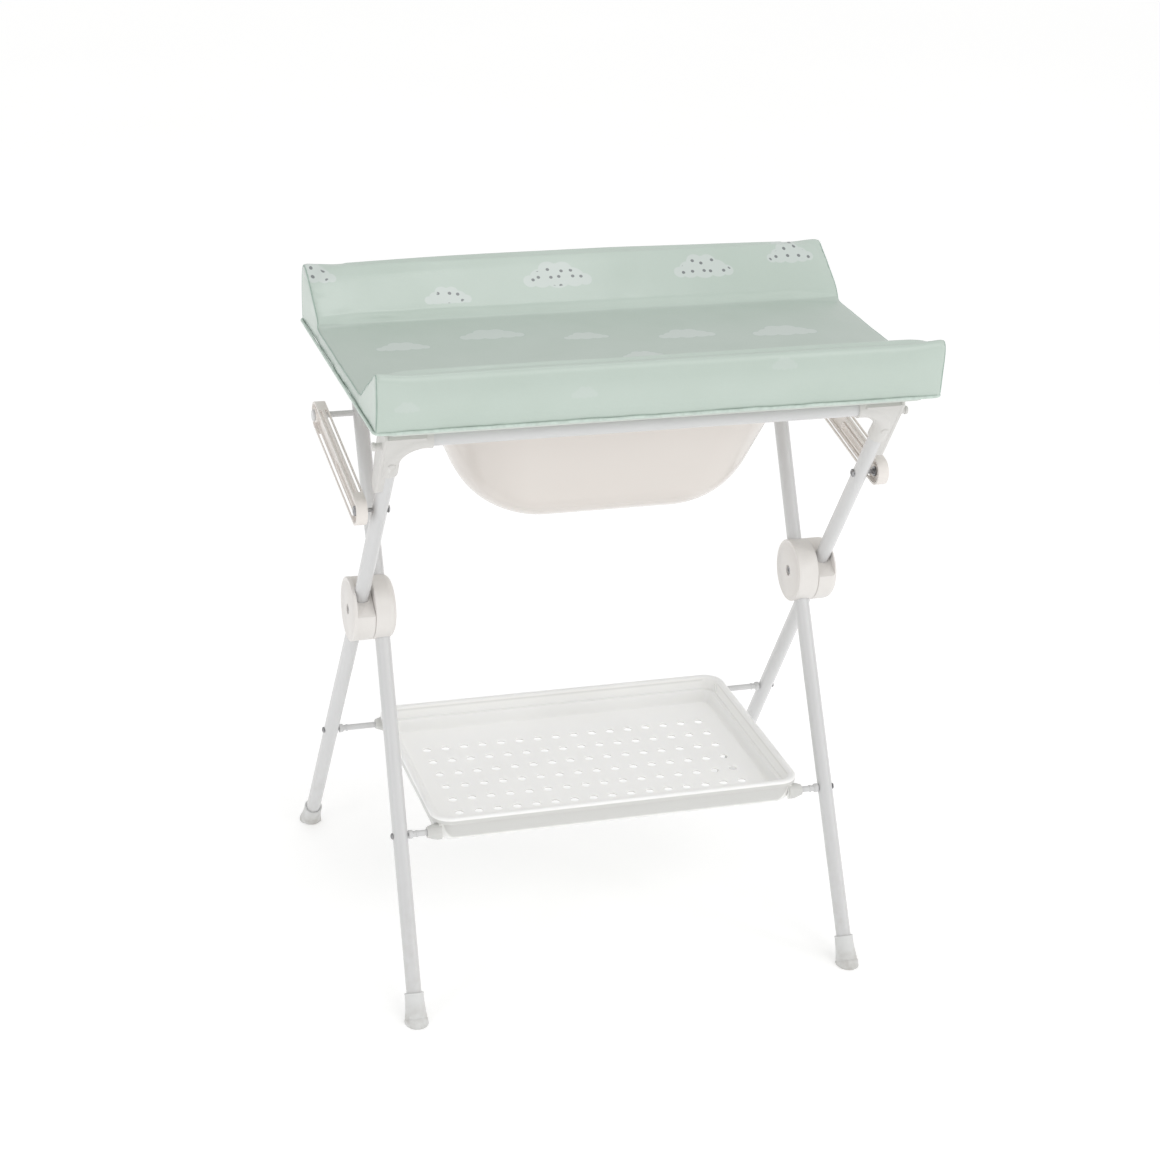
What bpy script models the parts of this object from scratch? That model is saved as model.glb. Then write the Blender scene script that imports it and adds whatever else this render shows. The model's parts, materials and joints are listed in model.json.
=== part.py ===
"""Folding changing table: a padded mat and a bath tub on a crossed tube frame, with a tray below.

Metres, +X along the table to the right, +Y to the back, +Z up. The floor is z = 0 and x = 0 is the middle of the table.
"""
import math

import bmesh
import bpy
from mathutils import Matrix, Vector

# ---------------------------------------------------------------- frame
TUBE_R = 0.011            # outside radius of every frame tube
TUBE_WALL = 0.0014
TUBE_SIDES = 16
GAP = 0.0003              # free space between touching pieces

HUB_Y, HUB_Z = -0.0105, 0.5225      # the axis the two leg frames turn on
FRONT_SLOPE = math.radians(30.9)    # outer frame, top to the front, foot to the rear
REAR_SLOPE = math.radians(29.2)     # inner frame, top to the rear, foot to the front
OUTER_X, INNER_X = 0.3560, 0.3250   # leg planes at the hub
OUTER_FOOT_X, INNER_FOOT_X = 0.3630, 0.3330
FRONT_RAIL_REACH = 0.3914           # hub axis to rail axis
REAR_RAIL_REACH = 0.3836
BEND_R = 0.045
BEND_STEPS = 6
TUBE_START = 0.017                  # tube ends stop this far from the hub axis
FOOT_GRIP = 0.012                   # tube end above the floor, along the leg

HUB_R = 0.047
HUB_IN = (0.3090, 0.3406)           # inner half, from x to x
HUB_OUT = (0.3412, 0.3728)
HUB_ROUND = 0.004
HUB_DISH_R = 0.037
HUB_DISH = 0.0014
HUB_BORE = 0.0043
SOCKET_FROM = 0.016
BOLT_R = 0.0040
BOLT_HEAD_R = 0.0068
BOLT_HEAD_H = 0.0030
RECESS_R, RECESS_DEEP = 0.0078, 0.0036   # counterbore that sinks the bolt's heads

FOOT_PROFILE = ((0.0172, -0.014), (0.0172, 0.004), (0.0158, 0.010), (0.0146, 0.020), (0.0137, 0.034), (0.0137, 0.044),
                (0.0130, 0.0455))

# ---------------------------------------------------------------- corner brackets
SLEEVE_R = 0.0132
PLATE_X = (0.3676, 0.3722)
PLATE_PIN_R = 0.0052
PLATE_PIN_X = 0.3860

# ---------------------------------------------------------------- side arms
ARM_X = (0.3768, 0.3926)
ARM_WEB = (0.3832, 0.3860)
ARM_RIB = (0.3800, 0.3892)
ARM_HALF = 0.0200
ARM_WALL = 0.0030
SLOT_HALF = 0.0045
SLOT_RIB = 0.0028
ARM_REAR_REACH = 0.2838             # hub axis to the arm's hinge, along the inner leg
ARM_FRONT_REACH = 0.2392            # hub axis to the arm's sliding pin, along the outer leg
ARM_ROD_R = 0.0044
FOLD_MAX = math.radians(31.0)
SLIDER_R = 0.0042
SLIDER_HEAD_R = 0.0072

# ---------------------------------------------------------------- tray
TRAY_HALF_X, TRAY_HALF_Y = 0.2830, 0.1840
TRAY_Y = -0.0035
TRAY_TOP, TRAY_BOTTOM = 0.2590, 0.2170
TRAY_CORNER = 0.030
TRAY_WALL = 0.0026
TRAY_RIM = 0.0085
TRAY_FLOOR = 0.0030
HOLE_R = 0.0062
HOLE_PITCH_X, HOLE_PITCH_Y = 0.0297, 0.0396
HOLE_COLS, HOLE_ROWS = 16, 6
SPINDLE_R = 0.0045
SPINDLE_FRONT_Z, SPINDLE_REAR_Z = 0.2330, 0.2390
BOSS_LEN = 0.0120

# ---------------------------------------------------------------- tub
TUB_WALL = 0.0030
TUB_Y = -0.0005                     # middle of the bowl
TUB_TOP = 0.8725                    # under side of the rim
TUB_BOTTOM = 0.6600
TUB_HALF_Y = (0.150, 0.075)         # half width at the rim, and where the wall would meet the bottom
TUB_HALF_X = (0.283, 0.187)
TUB_ROUND_Y, TUB_ROUND_X = 0.070, 0.125
RIM_Y = (-0.2230, 0.1890)
RIM_HALF_X = 0.300
RIM_T = 0.0038
BEAD_TOP = 0.8848
BEAD_W = 0.0105
DRAIN_X, DRAIN_Y, DRAIN_R = -0.090, -0.0005, 0.0125
CLIP_X = 0.170
CLIP_HALF = 0.016

# ---------------------------------------------------------------- mat
MAT_HALF_X = 0.400
MAT_BOTTOM = 0.8925
BOARD_Z = (0.8853, 0.8917)
BOARD_HALF_X = 0.384
BOARD_Y = (-0.268, 0.188)
MAT_SECTION = ((-0.2785, 0.8925), (-0.2812, 0.9000), (-0.2822, 0.9400), (-0.2810, 0.9700), (-0.2785, 0.9775),
               (-0.2735, 0.9790), (-0.2650, 0.9740), (-0.2300, 0.9500), (-0.1960, 0.9230), (-0.1880, 0.9165),
               (-0.1800, 0.9150), (0.0900, 0.9150), (0.0980, 0.9170), (0.1150, 0.9290), (0.1500, 0.9580),
               (0.1760, 0.9800), (0.1830, 0.9840), (0.1900, 0.9840), (0.1945, 0.9795), (0.1960, 0.9600),
               (0.1965, 0.9000), (0.1950, 0.8925))
HINGE_Y, HINGE_Z = 0.1935, 0.8800   # the axis the mat tips on
HINGE_X = 0.215
KNUCKLE_R = 0.0046
PIN_R = 0.0020

LOOKS = {
    "paint": ((0.86, 0.87, 0.88), 0.0, 0.32),
    "hub": ((0.90, 0.90, 0.89), 0.0, 0.42),
    "plastic": ((0.88, 0.86, 0.83), 0.0, 0.45),
    "bracket": ((0.80, 0.80, 0.79), 0.0, 0.45),
    "tub": ((0.93, 0.90, 0.88), 0.0, 0.28),
    "tray": ((0.93, 0.93, 0.90), 0.0, 0.40),
    "foot": ((0.80, 0.80, 0.80), 0.0, 0.60),
    "steel": ((0.45, 0.45, 0.46), 1.0, 0.35),
    "board": ((0.70, 0.74, 0.70), 0.0, 0.60),
    "mat": ((0.58, 0.76, 0.68), 0.0, 0.45),
}


# ---------------------------------------------------------------- setup and small helpers
def clear_scene():
    for ob in list(bpy.data.objects):
        bpy.data.objects.remove(ob, do_unlink=True)
    for col in list(bpy.data.collections):
        bpy.data.collections.remove(col)


clear_scene()
PARTS = bpy.data.collections.new("changing_table")
CUTTERS = bpy.data.collections.new("cutters")
bpy.context.scene.collection.children.link(PARTS)
bpy.context.scene.collection.children.link(CUTTERS)


def material(name, look):
    mat = bpy.data.materials.new(name + "_material")
    mat.use_nodes = True
    colour, metallic, rough = LOOKS[look]
    shader = mat.node_tree.nodes["Principled BSDF"]
    shader.inputs["Base Color"].default_value = (*colour, 1.0)
    shader.inputs["Metallic"].default_value = metallic
    shader.inputs["Roughness"].default_value = rough
    return mat


def pivot(name, point, parent=None):
    """An empty on a joint's axis, the parent of what moves with it."""
    ob = bpy.data.objects.new(name, None)
    ob.empty_display_size = 0.03
    PARTS.objects.link(ob)
    ob.location = point
    if parent is not None:
        ob.parent = parent
        ob.location = Vector(point) - world_point(parent)
    return ob


def world_point(ob):
    at = Vector((0, 0, 0))
    while ob is not None:
        at += Vector(ob.location)
        ob = ob.parent
    return at


def mesh_object(name, bm, collection):
    bmesh.ops.recalc_face_normals(bm, faces=bm.faces)
    me = bpy.data.meshes.new(name)
    bm.to_mesh(me)
    bm.free()
    ob = bpy.data.objects.new(name, me)
    collection.objects.link(ob)
    return ob


def part(name, bm, look, body=None):
    ob = mesh_object(name, bm, PARTS)
    ob.data.materials.append(material(name, look))
    if body is not None:
        ob.parent = body
        ob.location = -world_point(body)
    return ob


def cutter(name, bm):
    ob = mesh_object(name, bm, CUTTERS)
    ob.hide_render = True
    ob.display_type = "WIRE"
    return ob


def boolean(ob, tool, operation="DIFFERENCE"):
    mod = ob.modifiers.new(operation.lower(), "BOOLEAN")
    mod.operation = operation
    mod.solver = "EXACT"
    mod.object = tool
    return ob


def bridge(bm, rings, closed_ends=True, loop=False):
    """Faces between equal rings of vertices, with a flat cap at each end."""
    count = len(rings[0])
    pairs = list(zip(rings[:-1], rings[1:]))
    if loop:
        pairs.append((rings[-1], rings[0]))
    for one, two in pairs:
        for i in range(count):
            j = (i + 1) % count
            bm.faces.new((one[i], one[j], two[j], two[i]))
    if closed_ends and not loop:
        bm.faces.new(list(reversed(rings[0])))
        bm.faces.new(rings[-1])


def ring(bm, centre, along, radius, sides):
    """A circle of vertices round the direction along."""
    along = Vector(along).normalized()
    side = Vector((1, 0, 0)) if abs(along.x) < 0.9 else Vector((0, 1, 0))
    u = (side - along * side.dot(along)).normalized()
    v = along.cross(u)
    centre = Vector(centre)
    return [bm.verts.new(centre + radius * (math.cos(a) * u + math.sin(a) * v))
            for a in (2 * math.pi * i / sides for i in range(sides))]


def lathe(profile, origin, along, sides=24, bm=None):
    """A closed solid turned round an axis. profile holds (radius, distance) pairs from one end to the other."""
    bm = bm or bmesh.new()
    along = Vector(along).normalized()
    bridge(bm, [ring(bm, Vector(origin) + along * d, along, r, sides) for r, d in profile])
    return bm


def lathe_ring(outer, inner, origin, along, sides=24):
    """A turned solid with a bore right through: the outer profile runs one way and the inner one back."""
    bm = bmesh.new()
    along = Vector(along).normalized()
    rings = [ring(bm, Vector(origin) + along * d, along, r, sides) for r, d in list(outer) + list(reversed(inner))]
    bridge(bm, rings, loop=True)
    return bm


def rod(start, end, radius, sides=16, bm=None):
    start, end = Vector(start), Vector(end)
    return lathe(((radius, 0), (radius, (end - start).length)), start, end - start, sides, bm)


def swept_tube(path, outer, inner, sides):
    """A hollow tube along a path that lies in one plane."""
    path = [Vector(p) for p in path]
    dirs = []
    for i in range(len(path)):
        before = (path[i] - path[i - 1]).normalized() if i else None
        after = (path[i + 1] - path[i]).normalized() if i < len(path) - 1 else None
        dirs.append(((before or after) + (after or before)).normalized())
    flat = (path[1] - path[0]).cross(path[len(path) // 2] - path[0])
    if flat.length < 1e-7:
        flat = dirs[0].orthogonal()
    flat.normalize()
    bm = bmesh.new()
    loops = []
    for radius in (outer, inner):
        rings = []
        for i, p in enumerate(path):
            d = dirs[i]
            v = flat.cross(d).normalized()
            stretch = 1.0
            if 0 < i < len(path) - 1:
                turn = (path[i] - path[i - 1]).normalized().dot(d)
                stretch = 1.0 / max(turn, 0.5)
            rings.append([bm.verts.new(p + radius * (math.cos(a) * flat + math.sin(a) * stretch * v))
                          for a in (2 * math.pi * k / sides for k in range(sides))])
        loops.append(rings)
    out, inn = loops
    bridge(bm, out + list(reversed(inn)), loop=True)
    return bm


def box(x, y, z, bm=None):
    bm = bm or bmesh.new()
    made = bmesh.ops.create_cube(bm, size=1.0)["verts"]
    for v in made:
        v.co = Vector((x[0] + (v.co.x + 0.5) * (x[1] - x[0]), y[0] + (v.co.y + 0.5) * (y[1] - y[0]),
                       z[0] + (v.co.z + 0.5) * (z[1] - z[0])))
    return bm


def prism(outline, x0, x1, bm=None):
    """An outline in the YZ plane pushed along X."""
    bm = bm or bmesh.new()
    bridge(bm, [[bm.verts.new((x, y, z)) for y, z in outline] for x in (x0, x1)])
    return bm


def stadium(one, two, half, steps=7):
    """The outline round two YZ points at a distance, going round once."""
    one, two = Vector(one), Vector(two)
    heading = math.atan2(two.y - one.y, two.x - one.x)
    out = []
    for centre, base in ((two, heading - math.pi / 2), (one, heading + math.pi / 2)):
        for i in range(steps + 1):
            a = base + math.pi * i / steps
            out.append((centre.x + half * math.cos(a), centre.y + half * math.sin(a)))
    return out


def round_rect(a, b, r, cy, steps=7):
    """A rounded rectangle in XY, half sizes a and b, its middle at (0, cy)."""
    r = min(r, a * 0.999, b * 0.999)
    out = []
    for sx, sy, base in ((1, -1, -90), (1, 1, 0), (-1, 1, 90), (-1, -1, 180)):
        for i in range(steps + 1):
            t = math.radians(base + 90 * i / steps)
            out.append((sx * (a - r) + r * math.cos(t), cy + sy * (b - r) + r * math.sin(t)))
    return out


# ---------------------------------------------------------------- directions in the leg frames
HUB = Vector((0, HUB_Y, HUB_Z))
OUTER_UP = Vector((0, -math.sin(FRONT_SLOPE), math.cos(FRONT_SLOPE)))
INNER_UP = Vector((0, math.sin(REAR_SLOPE), math.cos(REAR_SLOPE)))
FRONT_RAIL = HUB + OUTER_UP * FRONT_RAIL_REACH
REAR_RAIL = HUB + INNER_UP * REAR_RAIL_REACH


def hub_point(side, x):
    return Vector((side * x, HUB_Y, HUB_Z))


def foot_point(side, frame):
    """Where a leg's axis meets the floor."""
    if frame == "outer":
        return Vector((side * OUTER_FOOT_X, HUB_Y + HUB_Z * math.tan(FRONT_SLOPE), 0))
    return Vector((side * INNER_FOOT_X, HUB_Y - HUB_Z * math.tan(REAR_SLOPE), 0))


def leg_at(side, frame, z):
    """The point of a lower leg's axis at a height."""
    hub = hub_point(side, OUTER_X if frame == "outer" else INNER_X)
    foot = foot_point(side, frame)
    return foot + (hub - foot) * (z / HUB_Z)


def u_path(x, up, reach):
    """Up from one hub, across the table and down to the other."""
    left = Vector((-x, HUB_Y, HUB_Z))
    path = [left + up * TUBE_START]
    turn = left + up * (reach - BEND_R) + Vector((BEND_R, 0, 0))
    for i in range(BEND_STEPS + 1):
        a = math.pi / 2 * i / BEND_STEPS
        path.append(turn - Vector((BEND_R * math.cos(a), 0, 0)) + up * BEND_R * math.sin(a))
    mirrored = [Vector((-p.x, p.y, p.z)) for p in reversed(path)]
    return path + mirrored


# the arm's ends at rest, in the YZ plane
ARM_REAR = HUB + INNER_UP * ARM_REAR_REACH
ARM_FRONT = HUB + OUTER_UP * ARM_FRONT_REACH
ARM_DIR = (ARM_FRONT - ARM_REAR).normalized()
ARM_OPEN = (ARM_FRONT - ARM_REAR).length
_THETA = FRONT_SLOPE + REAR_SLOPE - FOLD_MAX
ARM_SHUT = math.sqrt(ARM_REAR_REACH ** 2 + ARM_FRONT_REACH ** 2
                     - 2 * ARM_REAR_REACH * ARM_FRONT_REACH * math.cos(_THETA))


# ---------------------------------------------------------------- bodies
AXIS_FOLD = pivot("frame_fold_axis", (0, HUB_Y, HUB_Z))
AXIS_TUB = pivot("tub_tilt_axis", REAR_RAIL)
AXIS_MAT = pivot("mat_tilt_axis", (0, HINGE_Y, HINGE_Z), AXIS_TUB)
AXIS_PLUG = pivot("drain_plug_axis", (DRAIN_X, DRAIN_Y, TUB_BOTTOM), AXIS_TUB)
AXIS_TRAY = pivot("tray_swing_axis", leg_at(0, "inner", SPINDLE_FRONT_Z))
AXIS_ARM = {s: pivot(n + "_arm_axis", (s * 0.3846, ARM_REAR.y, ARM_REAR.z)) for s, n in ((-1, "left"), (1, "right"))}
AXIS_SLIDER = {s: pivot(n + "_arm_slider_axis", (s * 0.3846, ARM_FRONT.y, ARM_FRONT.z), AXIS_ARM[s])
               for s, n in ((-1, "left"), (1, "right"))}
SIDES = ((-1, "left"), (1, "right"))


def cross_hole(name, point, radius, reach):
    """A cutter along X through a tube."""
    return cutter(name, rod(Vector(point) - Vector((reach, 0, 0)), Vector(point) + Vector((reach, 0, 0)), radius, 10))


# ---------------------------------------------------------------- leg frames
def build_leg_frames():
    inner_r = TUBE_R - TUBE_WALL
    front = part("front_rail_tube", swept_tube(u_path(OUTER_X, OUTER_UP, FRONT_RAIL_REACH), TUBE_R, inner_r, TUBE_SIDES),
                 "paint", AXIS_FOLD)
    rear = part("rear_rail_tube", swept_tube(u_path(INNER_X, INNER_UP, REAR_RAIL_REACH), TUBE_R, inner_r, TUBE_SIDES),
                "paint")
    for side, word in SIDES:
        stud = Vector((side * OUTER_X, ARM_FRONT.y, ARM_FRONT.z))
        boolean(front, cross_hole(word + "_stud_hole", stud, 0.0033, 0.02))
        hinge = Vector((side * INNER_X, ARM_REAR.y, ARM_REAR.z))
        boolean(rear, cross_hole(word + "_rod_hole", hinge, ARM_ROD_R + GAP, 0.02))
        for frame, where, spindle_z, body in (("inner", "front", SPINDLE_FRONT_Z, None),
                                              ("outer", "rear", SPINDLE_REAR_Z, AXIS_FOLD)):
            foot = foot_point(side, frame)
            hub = hub_point(side, OUTER_X if frame == "outer" else INNER_X)
            down = (foot - hub).normalized()
            name = "_".join((word, where))
            leg = part(name + "_leg", swept_tube((hub + down * TUBE_START, foot - down * FOOT_GRIP), TUBE_R, inner_r,
                                                 TUBE_SIDES), "paint", body)
            boolean(leg, cross_hole(name + "_screw_hole", leg_at(side, frame, spindle_z), 0.0025, 0.02))
            cap = part(name + "_foot", lathe(FOOT_PROFILE, foot, -down, 20), "foot", body)
            boolean(cap, cutter(name + "_foot_bore", lathe(((TUBE_R + GAP, FOOT_GRIP - 0.0006), (TUBE_R + GAP, 0.07)),
                                                           foot, -down, TUBE_SIDES)))
            boolean(cap, cutter(name + "_floor_cut", box((foot.x - 0.05, foot.x + 0.05), (foot.y - 0.06, foot.y + 0.06),
                                                         (-0.05, 0))))


def hub_half(name, side, span, lower, upper, dish_outside, look, body):
    """One half of a round hub, turned on X, with a socket for each tube."""
    x0, x1 = span
    width = x1 - x0
    # distances run outwards from the face nearest the middle of the table
    plain = ((HUB_R - 0.0012, 0.0), (HUB_R, 0.0012))
    rounded = tuple((HUB_R - HUB_ROUND + HUB_ROUND * math.cos(a), width - HUB_ROUND + HUB_ROUND * math.sin(a))
                    for a in (math.radians(d) for d in (0, 30, 60, 90)))
    face = ((HUB_DISH_R, width), (HUB_DISH_R - 0.002, width - HUB_DISH), (0.0125, width - HUB_DISH), (0.0110, width),
            (RECESS_R, width), (RECESS_R, width - RECESS_DEEP))
    outer = plain + rounded + face
    inner = ((HUB_BORE, 0.0), (HUB_BORE, width - RECESS_DEEP))
    if dish_outside:
        origin, along = Vector((side * x0, HUB_Y, HUB_Z)), Vector((side, 0, 0))
    else:
        origin, along = Vector((side * x1, HUB_Y, HUB_Z)), Vector((-side, 0, 0))
    hub = part(name, lathe_ring(outer, inner, origin, along, 28), look, body)
    for word, direction, centre in (("lower", lower[0], lower[1]), ("upper", upper[0], upper[1])):
        boolean(hub, cutter(name + "_" + word + "_socket",
                            rod(centre + direction * SOCKET_FROM, centre + direction * 0.06, TUBE_R + GAP, TUBE_SIDES)))
    return hub


def build_hubs():
    for side, word in SIDES:
        outer_hub, inner_hub = hub_point(side, OUTER_X), hub_point(side, INNER_X)
        down_outer = (foot_point(side, "outer") - outer_hub).normalized()
        down_inner = (foot_point(side, "inner") - inner_hub).normalized()
        hub_half(word + "_hub_outer", side, HUB_OUT, (down_outer, outer_hub), (OUTER_UP, outer_hub), True, "hub",
                 AXIS_FOLD)
        hub_half(word + "_hub_inner", side, HUB_IN, (down_inner, inner_hub), (INNER_UP, inner_hub), False, "hub", None)
        near, far = RECESS_DEEP - GAP, HUB_OUT[1] - HUB_IN[0] - RECESS_DEEP + GAP
        head = BOLT_HEAD_H
        profile = ((0.0030, near - head), (BOLT_HEAD_R - 0.001, near - head), (BOLT_HEAD_R, near - head + 0.0008),
                   (BOLT_HEAD_R, near), (BOLT_R, near), (BOLT_R, far), (BOLT_HEAD_R, far),
                   (BOLT_HEAD_R, far + head - 0.0008), (BOLT_HEAD_R - 0.001, far + head), (0.0030, far + head),
                   (0.0026, far + head - 0.0010))
        part(word + "_hub_bolt", lathe(profile, hub_point(side, HUB_IN[0]), (side, 0, 0), 14), "steel")


# ---------------------------------------------------------------- corner brackets on the front rail
def build_brackets():
    for side, word in SIDES:
        left = [p for p in u_path(OUTER_X, OUTER_UP, FRONT_RAIL_REACH)[1:BEND_STEPS + 2]]
        first = left[0] - OUTER_UP * 0.020
        last = left[-1] + Vector((0.006, 0, 0))
        path = [Vector((-side * p.x, p.y, p.z)) for p in [first] + left + [last]]
        bracket = part(word + "_corner_bracket", swept_tube(path, SLEEVE_R, TUBE_R + GAP, TUBE_SIDES), "bracket", AXIS_FOLD)
        across = Vector((0, math.cos(FRONT_SLOPE), math.sin(FRONT_SLOPE)))
        at = [(FRONT_RAIL_REACH + 0.0125, -0.0105), (FRONT_RAIL_REACH + 0.0165, -0.0060),
              (FRONT_RAIL_REACH + 0.0165, 0.0140), (FRONT_RAIL_REACH + 0.0060, 0.0270),
              (FRONT_RAIL_REACH - 0.0200, 0.0260), (FRONT_RAIL_REACH - 0.0950, 0.0120),
              (FRONT_RAIL_REACH - 0.1040, 0.0070), (FRONT_RAIL_REACH - 0.1040, -0.0070),
              (FRONT_RAIL_REACH - 0.1000, -0.0105)]
        outline = []
        for up, back in at:
            p = HUB + OUTER_UP * up + across * back
            outline.append((p.y, p.z))
        x0, x1 = (PLATE_X if side > 0 else (-PLATE_X[1], -PLATE_X[0]))
        boolean(bracket, cutter(word + "_bracket_plate", prism(outline, x0, x1)), "UNION")
        start = Vector((side * (PLATE_X[1] - 0.001), FRONT_RAIL.y, FRONT_RAIL.z))
        end = Vector((side * PLATE_PIN_X, FRONT_RAIL.y, FRONT_RAIL.z))
        boolean(bracket, cutter(word + "_bracket_pin", rod(start, end, PLATE_PIN_R, 16)), "UNION")


# ---------------------------------------------------------------- side arms
def build_arms():
    for side, word in SIDES:
        def span(x):
            return x if side > 0 else (-x[1], -x[0])
        rear = (ARM_REAR.y, ARM_REAR.z)
        front = (ARM_FRONT.y, ARM_FRONT.z)
        slot_rear_point = ARM_REAR + ARM_DIR * (ARM_SHUT - 0.002)
        slot_front_point = ARM_FRONT + ARM_DIR * 0.0002
        slot = ((slot_rear_point.y, slot_rear_point.z), (slot_front_point.y, slot_front_point.z))
        arm = part(word + "_side_arm", prism(stadium(rear, front, ARM_HALF), *span(ARM_X)), "plastic", AXIS_ARM[side])
        for label, x in (("inside", (ARM_X[0] - 0.01, ARM_WEB[0])), ("outside", (ARM_WEB[1], ARM_X[1] + 0.01))):
            boolean(arm, cutter("_".join((word, "arm_recess", label)),
                                prism(stadium(rear, front, ARM_HALF - ARM_WALL), *span(x))))
        boolean(arm, cutter(word + "_arm_slot_rib", prism(stadium(*slot, SLOT_HALF + SLOT_RIB), *span(ARM_RIB))), "UNION")
        boss = ((0.0105, 0.0), (0.0105, ARM_X[1] - ARM_X[0]))
        boolean(arm, cutter(word + "_arm_boss", lathe(boss, (side * ARM_X[0], *rear), (side, 0, 0), 20)), "UNION")
        boolean(arm, cutter(word + "_arm_slot", prism(stadium(*slot, SLOT_HALF), *span((ARM_X[0] - 0.01, ARM_X[1] + 0.01)))))
        boolean(arm, cutter(word + "_arm_bore", rod((side * 0.36, *rear), (side * 0.41, *rear), ARM_ROD_R + GAP, 20)))

        start, tip = INNER_X - TUBE_R - 0.0030, ARM_X[1]
        profile = ((0.0062, start), (0.0070, start + 0.0008), (0.0070, INNER_X - TUBE_R - GAP), (ARM_ROD_R, INNER_X - TUBE_R - GAP),
                   (ARM_ROD_R, tip + GAP), (0.0088, tip + GAP), (0.0088, tip + 0.0020), (0.0070, tip + 0.0036))
        part(word + "_arm_rod", lathe(profile, (0, *rear), (side, 0, 0), 20), "paint")

        profile = ((0.0032, OUTER_X - TUBE_R - 0.0034), (0.0052, OUTER_X - TUBE_R - 0.0028), (0.0058, OUTER_X - TUBE_R - 0.0008),
                   (0.0058, OUTER_X - TUBE_R - GAP), (0.0030, OUTER_X - TUBE_R - GAP), (0.0030, 0.3728))
        part(word + "_arm_stud", lathe(profile, (0, *front), (side, 0, 0), 16), "steel", AXIS_FOLD)

        profile = ((SLIDER_R, 0.3736), (SLIDER_R, ARM_X[0] + 0.0002), (SLIDER_HEAD_R, ARM_X[0] + 0.0002),
                   (SLIDER_HEAD_R, ARM_RIB[0] - GAP), (SLIDER_R, ARM_RIB[0] - GAP), (SLIDER_R, ARM_RIB[1] + GAP),
                   (SLIDER_HEAD_R, ARM_RIB[1] + GAP), (SLIDER_HEAD_R, ARM_X[1] - 0.0008),
                   (SLIDER_HEAD_R - 0.0016, ARM_X[1] + 0.0004))
        part(word + "_arm_slider", lathe(profile, (0, *front), (side, 0, 0), 18), "steel", AXIS_SLIDER[side])


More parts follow.
